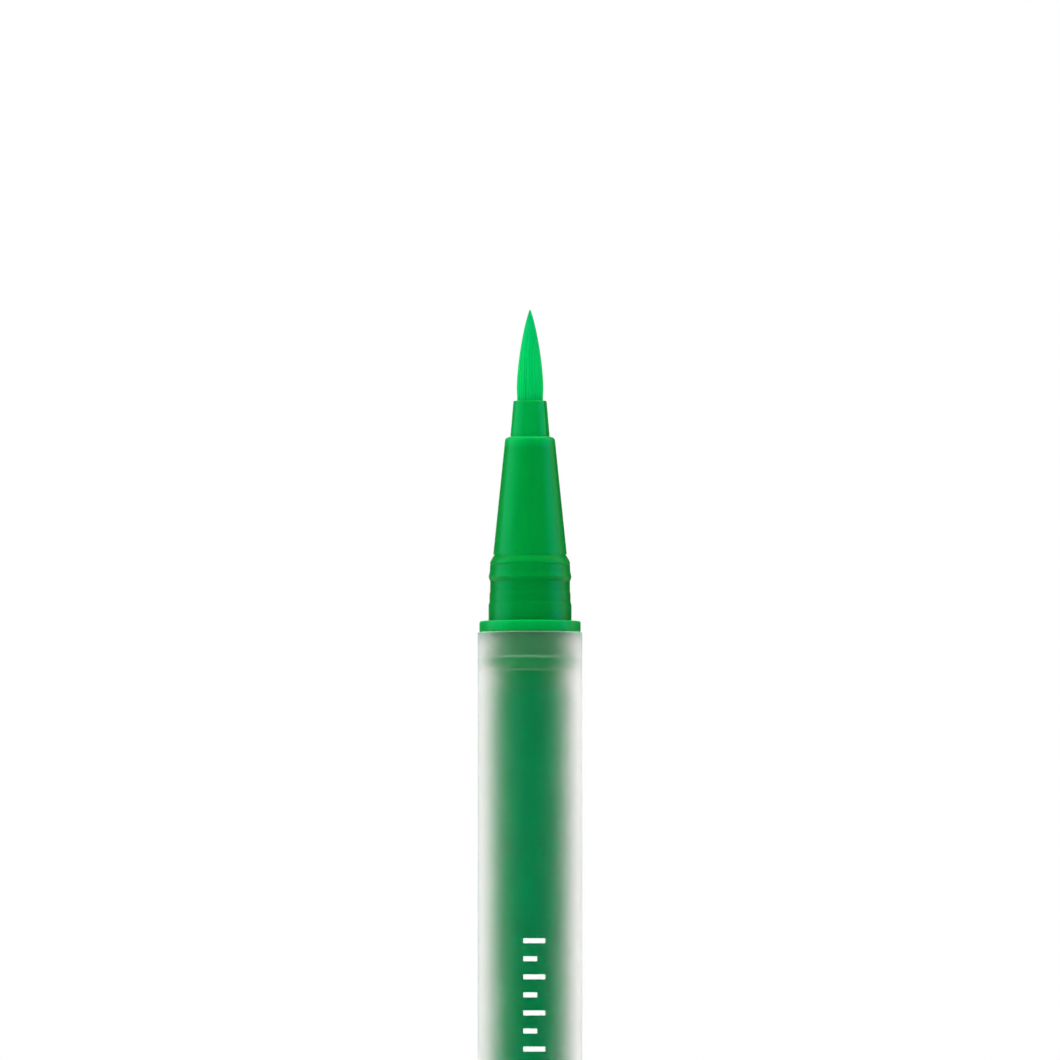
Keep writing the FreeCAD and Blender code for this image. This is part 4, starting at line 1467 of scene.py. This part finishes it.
class EYELINER_OT_stage(bpy.types.Operator):
    """Sets up the camera, lamps, world and floor"""

    bl_idname = "eyeliner.stage"
    bl_label = "Studio"

    def execute(self, context):
        scene = context.scene
        pen, at = pen_of(context)
        stage = pen.stage
        scene.view_settings.view_transform = "Standard"
        self.add_camera(scene, stage, at)
        self.add_world(scene, stage)
        self.add_floor(scene, stage)
        middle = (at.barrel_top + at.barrel_bottom) / 2
        for lamp in (
            # name, bearing, elevation, distance, width, height, level, tint, lights, shines
            ("Left Softbox", -78, 12, 0.5, 0.42, 0.6, 0.44, WHITE, True, False),
            ("Left Sheen", -84, 8, 0.5, 0.5, 0.42, 0.68, (0.0, 0.8, 1.0), False, True),
            ("Right Softbox", 88, 8, 0.5, 0.2, 0.6, 0.1, WHITE, True, False),
            ("Right Sheen", 80, 8, 0.5, 0.32, 0.42, 0.62, (0.0, 0.45, 1.0), False, True),
            ("Top Softbox", 0, 78, 0.5, 0.4, 0.4, 0.85, WHITE, True, False),
            ("Front Fill", -15, 10, 0.8, 0.4, 0.4, 0.13, WHITE, True, False),
            ("Back Left", -140, 20, 0.6, 0.3, 0.5, 0.2, WHITE, True, False),
            ("Back Right", 140, 20, 0.6, 0.3, 0.5, 0.2, WHITE, True, False),
        ):
            self.add_lamp(scene, Vector((0, 0, middle)), *lamp)
        for name, bearing in (("Left Flag", -137), ("Right Flag", 147)):
            self.add_flag(scene, name, bearing, stage)
        return {"FINISHED"}

    def add_camera(self, scene, stage, at):
        """Puts the camera where the photograph was taken from, low and far away."""
        centre_drop = (stage.image_side / 2 - stage.tip_row) * stage.pixel_size
        aim = Vector((0, 0, at.tuft_tip - centre_drop))
        place = Vector((0, -stage.camera_distance, at.barrel_top - stage.camera_drop))
        data = bpy.data.cameras.new("Photo Camera")
        slant = (aim - place).length
        data.sensor_width = 36.0
        data.lens = data.sensor_width * slant / (stage.image_side * stage.pixel_size)
        data.clip_start = 0.05
        data.clip_end = 20.0
        camera = bpy.data.objects.new("Photo Camera", data)
        camera.location = place
        camera.rotation_euler = (aim - place).to_track_quat("-Z", "Y").to_euler()
        scene.collection.objects.link(camera)
        scene.camera = camera

    def add_world(self, scene, stage):
        """A world that is white to look at, and lights the pen more gently than that."""
        world = bpy.data.worlds.new("Studio World")
        scene.world = world
        world.use_nodes = True
        tree = world.node_tree
        tree.nodes.clear()
        direction = find_socket(add_node(tree, "ShaderNodeTexCoord").outputs, "Generated")
        upward = add_node(tree, "ShaderNodeSeparateXYZ", {"Vector": direction}).outputs[2]
        lighting = add_node(tree, "ShaderNodeBackground", {
            "Color": opaque(WHITE),
            "Strength": remap(tree, upward, -1.0, 1.0, stage.ground_level, stage.sky_level),
        })
        backdrop = add_node(tree, "ShaderNodeBackground", {"Color": opaque(WHITE), "Strength": 1.0})
        mixed = add_node(tree, "ShaderNodeMixShader", {
            "Fac": seen_as_background(tree),
            "Shader": lighting.outputs[0], "Shader_001": backdrop.outputs[0],
        })
        add_node(tree, "ShaderNodeOutputWorld", {"Surface": mixed.outputs[0]})

    def add_floor(self, scene, stage):
        """A round pale floor that shows the pen's shade and goes over into the white backdrop."""
        bottom = -2 * MM
        plain_share = 0.3  # of the shadow radius, inside which the floor is paper only
        mesh = turned_mesh("studio_floor", [
            (0, bottom, 0), (stage.floor_radius, bottom, 0), (stage.floor_radius, 0, 0), (0, 0, 0),
        ])
        material = bpy.data.materials.new("Studio Floor")
        material.use_nodes = True
        tree = material.node_tree
        tree.nodes.clear()
        paper = add_node(tree, "ShaderNodeBsdfDiffuse", {"Color": opaque(stage.floor_colour)})
        white = add_node(tree, "ShaderNodeEmission", {"Color": opaque(WHITE), "Strength": 1.0})
        coordinates = find_socket(add_node(tree, "ShaderNodeTexCoord").outputs, "Object")
        reach = add_node(tree, "ShaderNodeVectorMath", {"Vector": coordinates}, operation="LENGTH")
        distance = find_socket(reach.outputs, "Value")
        far = remap(tree, distance, plain_share * stage.shadow_radius, stage.shadow_radius, smooth=True)
        mixed = add_node(tree, "ShaderNodeMixShader", {
            "Fac": calculate(tree, "MULTIPLY", far, seen_as_background(tree)),
            "Shader": paper.outputs[0], "Shader_001": white.outputs[0],
        })
        add_node(tree, "ShaderNodeOutputMaterial", {"Surface": mixed.outputs[0]})
        mesh.materials.append(material)
        floor = bpy.data.objects.new("studio_floor", mesh)
        scene.collection.objects.link(floor)

    def add_flag(self, scene, name, bearing, stage):
        """Adds a black card that only reflections see, so that the pen's edges stay dark."""
        turn = math.radians(bearing)
        middle = Vector((math.sin(turn), -math.cos(turn), 0)) * stage.flag_distance
        across = Vector((math.cos(turn), math.sin(turn), 0)) * stage.flag_width / 2
        up = Vector((0, 0, stage.flag_height))
        left, right = middle - across, middle + across
        mesh = bpy.data.meshes.new(name)
        mesh.from_pydata([left, right, right + up, left + up], [], [(0, 1, 2, 3)])
        material = bpy.data.materials.new(name)
        material.use_nodes = True
        material.node_tree.nodes.clear()
        cloth = add_node(material.node_tree, "ShaderNodeBsdfDiffuse", {"Color": opaque((0.01, 0.01, 0.01))})
        add_node(material.node_tree, "ShaderNodeOutputMaterial", {"Surface": cloth.outputs[0]})
        mesh.materials.append(material)
        flag = bpy.data.objects.new(name, mesh)
        flag.visible_camera = False
        flag.visible_diffuse = False
        flag.visible_transmission = False
        flag.visible_shadow = False
        scene.collection.objects.link(flag)

    def add_lamp(
        self, scene, aim, name, bearing, elevation, distance, width, height, level, tint, lights, shines,
    ):
        """Adds a soft lamp whose level is the share of plain white that it lends a facing sheet."""
        turn, lift = math.radians(bearing), math.radians(elevation)
        away = Vector((
            math.sin(turn) * math.cos(lift), -math.cos(turn) * math.cos(lift), math.sin(lift),
        ))
        data = bpy.data.lights.new(name, "AREA")
        data.shape = "RECTANGLE"
        data.size = width
        data.size_y = height
        data.color = tint
        data.energy = level * (math.pi * distance) ** 2
        lamp = bpy.data.objects.new(name, data)
        lamp.visible_diffuse = lights
        lamp.visible_transmission = lights
        lamp.visible_glossy = shines
        lamp.location = aim + away * distance
        lamp.rotation_euler = (-away).to_track_quat("-Z", "Y").to_euler()
        scene.collection.objects.link(lamp)


class EYELINER_OT_front_section(bpy.types.Operator):
    """Builds the nose cone with its collar, flange and spigot"""

    bl_idname = "eyeliner.front_section"
    bl_label = "Nose and Collar"

    def execute(self, context):
        pen, at = pen_of(context)
        lip_top = at.nose_top - pen.nose.crown
        cone_foot = at.nose_base + pen.nose.groove_width
        outside_groove = at.nose_base_radius - pen.nose.groove_depth / 2

        def thinness_and_light_at(radius, height):
            """Wall thickness with its painted shade and light at a point of the stopper, flange, collar and
            nose.
            """
            if height < at.barrel_top + TOLERANCE and radius < at.ring_radius:
                return stopper_thinness_and_light(pen, at.barrel_top - height)
            if height < at.collar_base + TOLERANCE and radius > at.ring_radius + TOLERANCE:
                return flange_thinness_and_light(pen, height - at.barrel_top)
            if height < at.nose_base + TOLERANCE and radius > outside_groove:
                return collar_thinness_and_light(pen, height - at.collar_base)
            if height < cone_foot + TOLERANCE and radius > at.nose_tip_radius:
                in_groove = radius < at.nose_base_radius - TOLERANCE
                return pen.thinness_and_light.foot_groove if in_groove else pen.thinness_and_light.nose_foot
            # Painted light: the nose lightens towards its upper lip
            return min(1.0, max(0.0, 1 - (lip_top - height) / pen.nose.lip_height))

        mesh = turned_mesh(
            "nose_and_collar", front_section_corners(pen, at), thinness_and_light_at=thinness_and_light_at,
            finish_at=lambda radius, height: int(height < at.barrel_top - TOLERANCE),
        )
        add_piece(
            "nose_and_collar", mesh, [green_plastic(pen.colours), stopper_plastic(pen.colours)],
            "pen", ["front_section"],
        )
        return {"FINISHED"}


class EYELINER_OT_tip_holder(bpy.types.Operator):
    """Builds the sleeve round the brush, with its air grooves"""

    bl_idname = "eyeliner.tip_holder"
    bl_label = "Brush Sleeve"

    def execute(self, context):
        pen, at = pen_of(context)
        holder = pen.holder
        bearings, centres, half_width = groove_columns(holder, at)
        slack = math.radians(0.05)
        exposed = at.holder_rim - at.nose_top

        def grooved(bearing, radius, height):
            """The radius of a point, sunk where it lies in an air groove."""
            nearest = min(abs(math.remainder(bearing - centre, math.tau)) for centre in centres)
            if nearest > half_width + slack or height < at.holder_step - TOLERANCE:
                return radius
            rise = max(0.0, (height - at.nose_top) / exposed)
            outside = at.holder_shank_radius - holder.taper * rise
            return min(radius, outside - holder.groove_depth)

        mesh = turned_mesh(
            "brush_sleeve", tip_holder_corners(pen, at), bearings, grooved,
            thinness_and_light_at=lambda radius, height: pen.thinness_and_light.sleeve,
        )
        add_piece(
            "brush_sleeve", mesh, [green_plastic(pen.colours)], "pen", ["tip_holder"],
        )
        return {"FINISHED"}


class EYELINER_OT_brush(bpy.types.Operator):
    """Builds the pointed brush from its filaments, and finishes the retainer behind it"""

    bl_idname = "eyeliner.brush"
    bl_label = "Brush"

    def execute(self, context):
        pen, at = pen_of(context)
        brush = pen.brush
        fibre = brush_fibre(pen, at)
        core = turned_mesh("brush_heart", tuft_core_corners(pen, at))
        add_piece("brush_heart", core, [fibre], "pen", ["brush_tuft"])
        filaments = grown_piece("brush_filaments", filament_bundle_tree(), {
            "Count": brush.filament_count,
            "Foot": at.holder_rim - brush.sunk_length,
            "Rim": at.holder_rim,
            "Belly": at.holder_rim + brush.belly_height,
            "Tip": at.tuft_tip,
            "Base Radius": brush.base_radius,
            "Belly Radius": brush.belly_radius,
            "Curve Power": brush.curve_power,
            "Curve Fullness": brush.curve_fullness,
            "Filament Radius": brush.filament_radius,
            "Seed": brush.seed,
            "Material": fibre,
        })
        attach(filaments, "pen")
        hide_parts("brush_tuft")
        finish_node("brush_retainer", natural_plastic(pen.colours))
        return {"FINISHED"}


class EYELINER_OT_barrel(bpy.types.Operator):
    """Builds the frosted tube"""

    bl_idname = "eyeliner.barrel"
    bl_label = "Frosted Tube"

    def execute(self, context):
        pen, at = pen_of(context)
        walls = pen.walls
        rounding = walls.barrel_rim_round
        neck_end = at.barrel_top - pen.spigot.neck_length - walls.ring_line_drop
        land_end = at.nozzle_top - walls.ring_line_drop
        tail_neck_end = at.barrel_bottom + pen.spigot.neck_length
        half_line = walls.ring_line_width / 2
        lines = [
            (height, height - half_line, height + half_line)
            for height in (tail_neck_end, at.plug_top, land_end, neck_end)
        ]
        outside = []
        for height, lower, upper in lines:
            outside += [
                (at.pen_radius, lower, 0),
                (at.pen_radius - walls.ring_line_depth, height, 0),
                (at.pen_radius, upper, 0),
            ]
        wall_middle = (at.barrel_bore_radius + at.pen_radius) / 2

        colours = pen.colours
        # The milky finishes are painted light: a pale haze over the stoppers' necks and lands, pale glints
        # along the fine lines and a green-white glow at the rims
        finishes = (
            frosted_skin("Frosted Tube Skin", colours.frost, 0.0),
            clear_bore(colours),
            frosted_skin("Frosted Tube Skin over Neck", colours.frost, 0.034),
            frosted_skin("Frosted Tube Skin over Land", colours.frost, 0.015),
            frosted_skin("Frosted Tube Edge", colours.frost_edge_glow, 0.22),
            frosted_skin("Frosted Tube Neck Line", colours.frost, 0.1),
            frosted_skin("Frosted Tube Land Line", colours.frost, 0.05),
        )
        skin, bore, over_neck, over_land, edge, neck_glint_line, land_glint_line = range(len(finishes))

        def finish_at(radius, height):
            """Which of those finishes a face has."""
            if radius < wall_middle:
                return bore
            if not at.barrel_bottom + rounding < height < at.barrel_top - rounding:
                return edge
            if any(lower < height < upper for _, lower, upper in lines):
                between_lands = at.plug_top - half_line < height < land_end + half_line
                return land_glint_line if between_lands else neck_glint_line
            if height < tail_neck_end or height > neck_end:
                return over_neck
            return over_land if height < at.plug_top or height > land_end else skin

        mesh = turned_mesh("frosted_tube", [
            (at.barrel_bore_radius, at.barrel_bottom, rounding),
            (at.pen_radius, at.barrel_bottom, rounding),
            *outside,
            (at.pen_radius, at.barrel_top, rounding),
            (at.barrel_bore_radius, at.barrel_top, rounding),
        ], finish_at=finish_at)
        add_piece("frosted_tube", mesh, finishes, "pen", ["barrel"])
        return {"FINISHED"}


class EYELINER_OT_marks(bpy.types.Operator):
    """Prints the level scale on the tube"""

    bl_idname = "eyeliner.marks"
    bl_label = "Level Scale"

    def execute(self, context):
        pen, at = pen_of(context)
        marks = pen.marks
        printed = grown_piece("level_scale", scale_marks_tree(), {
            "Count": marks.count,
            "Pitch": marks.pitch,
            "Top": at.barrel_top - marks.drop,
            "Cylinder Radius": at.pen_radius,
            "Start Angle": marks.start_angle,
            "Long Width": marks.long_width,
            "Short Width": marks.short_width,
            "Thickness": marks.thickness,
            "Proud": marks.proud,
            "Sunk": marks.sunk,
            "Material": printed_ink(pen.colours),
        })
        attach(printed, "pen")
        return {"FINISHED"}


class EYELINER_OT_reservoir(bpy.types.Operator):
    """Builds the soaked core and its film, and finishes the wick"""

    bl_idname = "eyeliner.reservoir"
    bl_label = "Reservoir"

    def execute(self, context):
        pen, at = pen_of(context)
        pocket_radius = at.wick_radius + pen.walls.press_clearance
        core = turned_mesh("fibre_core", [
            (0, at.reservoir_bottom, 0),
            (at.core_radius, at.reservoir_bottom, 0),
            (at.core_radius, at.reservoir_top, 0),
            (pocket_radius, at.reservoir_top, 0),
            (pocket_radius, at.wick_bottom, 0),
            (0, at.wick_bottom, 0),
        ])
        film = turned_mesh("core_film", [
            (at.film_bore_radius, at.reservoir_bottom, 0),
            (at.film_radius, at.reservoir_bottom, 0),
            (at.film_radius, at.reservoir_top, 0),
            (at.film_bore_radius, at.reservoir_top, 0),
        ])
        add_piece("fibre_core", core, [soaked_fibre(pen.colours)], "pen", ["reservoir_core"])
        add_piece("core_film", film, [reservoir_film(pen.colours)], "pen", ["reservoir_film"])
        finish_node("feed_wick", wick_fibre(pen.colours))
        return {"FINISHED"}


class EYELINER_OT_tail_plug(bpy.types.Operator):
    """Builds the lower stopper and the post that the cap sits on"""

    bl_idname = "eyeliner.tail_plug"
    bl_label = "Tail Stopper"

    def execute(self, context):
        pen, at = pen_of(context)

        def thinness_and_light_at(radius, height):
            """Wall thickness with its painted shade and light at a point of the stopper, flange and post."""
            if height > at.barrel_bottom - TOLERANCE and radius < at.ring_radius:
                return stopper_thinness_and_light(pen, height - at.barrel_bottom)
            if height > at.cap_length - TOLERANCE and radius > at.ring_radius + TOLERANCE:
                return flange_thinness_and_light(pen, at.barrel_bottom - height)
            return collar_thinness_and_light(pen, at.cap_length - height)

        mesh = turned_mesh(
            "tail_stopper", tail_plug_corners(pen, at), thinness_and_light_at=thinness_and_light_at,
            finish_at=lambda radius, height: int(height > at.barrel_bottom + TOLERANCE),
        )
        add_piece(
            "tail_stopper", mesh, [green_plastic(pen.colours), stopper_plastic(pen.colours)],
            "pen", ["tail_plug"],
        )
        return {"FINISHED"}


class EYELINER_OT_cap(bpy.types.Operator):
    """Builds the cap and the sealing cup in it"""

    bl_idname = "eyeliner.cap"
    bl_label = "Cap"

    def execute(self, context):
        pen, at = pen_of(context)
        shell = turned_mesh("cap_cup", cap_shell_corners(pen, at))
        cup = turned_mesh("sealing_cup", inner_cap_corners(pen, at))
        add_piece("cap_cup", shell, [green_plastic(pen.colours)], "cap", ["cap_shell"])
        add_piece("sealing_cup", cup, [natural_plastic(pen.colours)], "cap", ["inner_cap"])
        return {"FINISHED"}


class EYELINER_PT_panel(bpy.types.Panel):
    """Lists the pen's operators and settings"""

    bl_idname = "EYELINER_PT_panel"
    bl_label = "Eyeliner Pen"
    bl_space_type = "VIEW_3D"
    bl_region_type = "UI"
    bl_category = "Eyeliner Pen"

    def draw(self, context):
        """Draws a button for each operator and a box for each group of settings."""
        pen = context.scene.eyeliner_pen
        for operator in OPERATORS:
            self.layout.operator(operator.bl_idname)
        for group_name in PenSettings.__annotations__:
            group = getattr(pen, group_name)
            box = self.layout.box()
            box.label(text=group.bl_rna.description)
            for setting in type(group).__annotations__:
                box.prop(group, setting)


GROUPS = (
    WallSizes, CollarSizes, ThinnessAndLight, SpigotSizes, NoseSizes, HolderSizes, BrushSizes, CapSizes, MarkSizes,
    PenColours, StageSettings, PenSettings,
)
OPERATORS = (
    EYELINER_OT_stage, EYELINER_OT_front_section, EYELINER_OT_tip_holder, EYELINER_OT_brush,
    EYELINER_OT_barrel, EYELINER_OT_marks, EYELINER_OT_reservoir, EYELINER_OT_tail_plug,
    EYELINER_OT_cap,
)


def register():
    """Adds the settings, operators and panel to the program."""
    for item in (*GROUPS, *OPERATORS, EYELINER_PT_panel):
        bpy.utils.register_class(item)
    bpy.types.Scene.eyeliner_pen = PointerProperty(type=PenSettings)


def unregister():
    """Takes them out again."""
    del bpy.types.Scene.eyeliner_pen
    for item in reversed((*GROUPS, *OPERATORS, EYELINER_PT_panel)):
        bpy.utils.unregister_class(item)


def main():
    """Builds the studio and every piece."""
    register()
    bpy.ops.eyeliner.stage()
    bpy.ops.eyeliner.front_section()
    bpy.ops.eyeliner.tip_holder()
    bpy.ops.eyeliner.brush()
    bpy.ops.eyeliner.barrel()
    bpy.ops.eyeliner.marks()
    bpy.ops.eyeliner.reservoir()
    bpy.ops.eyeliner.tail_plug()
    bpy.ops.eyeliner.cap()


if __name__ == "__main__":
    main()
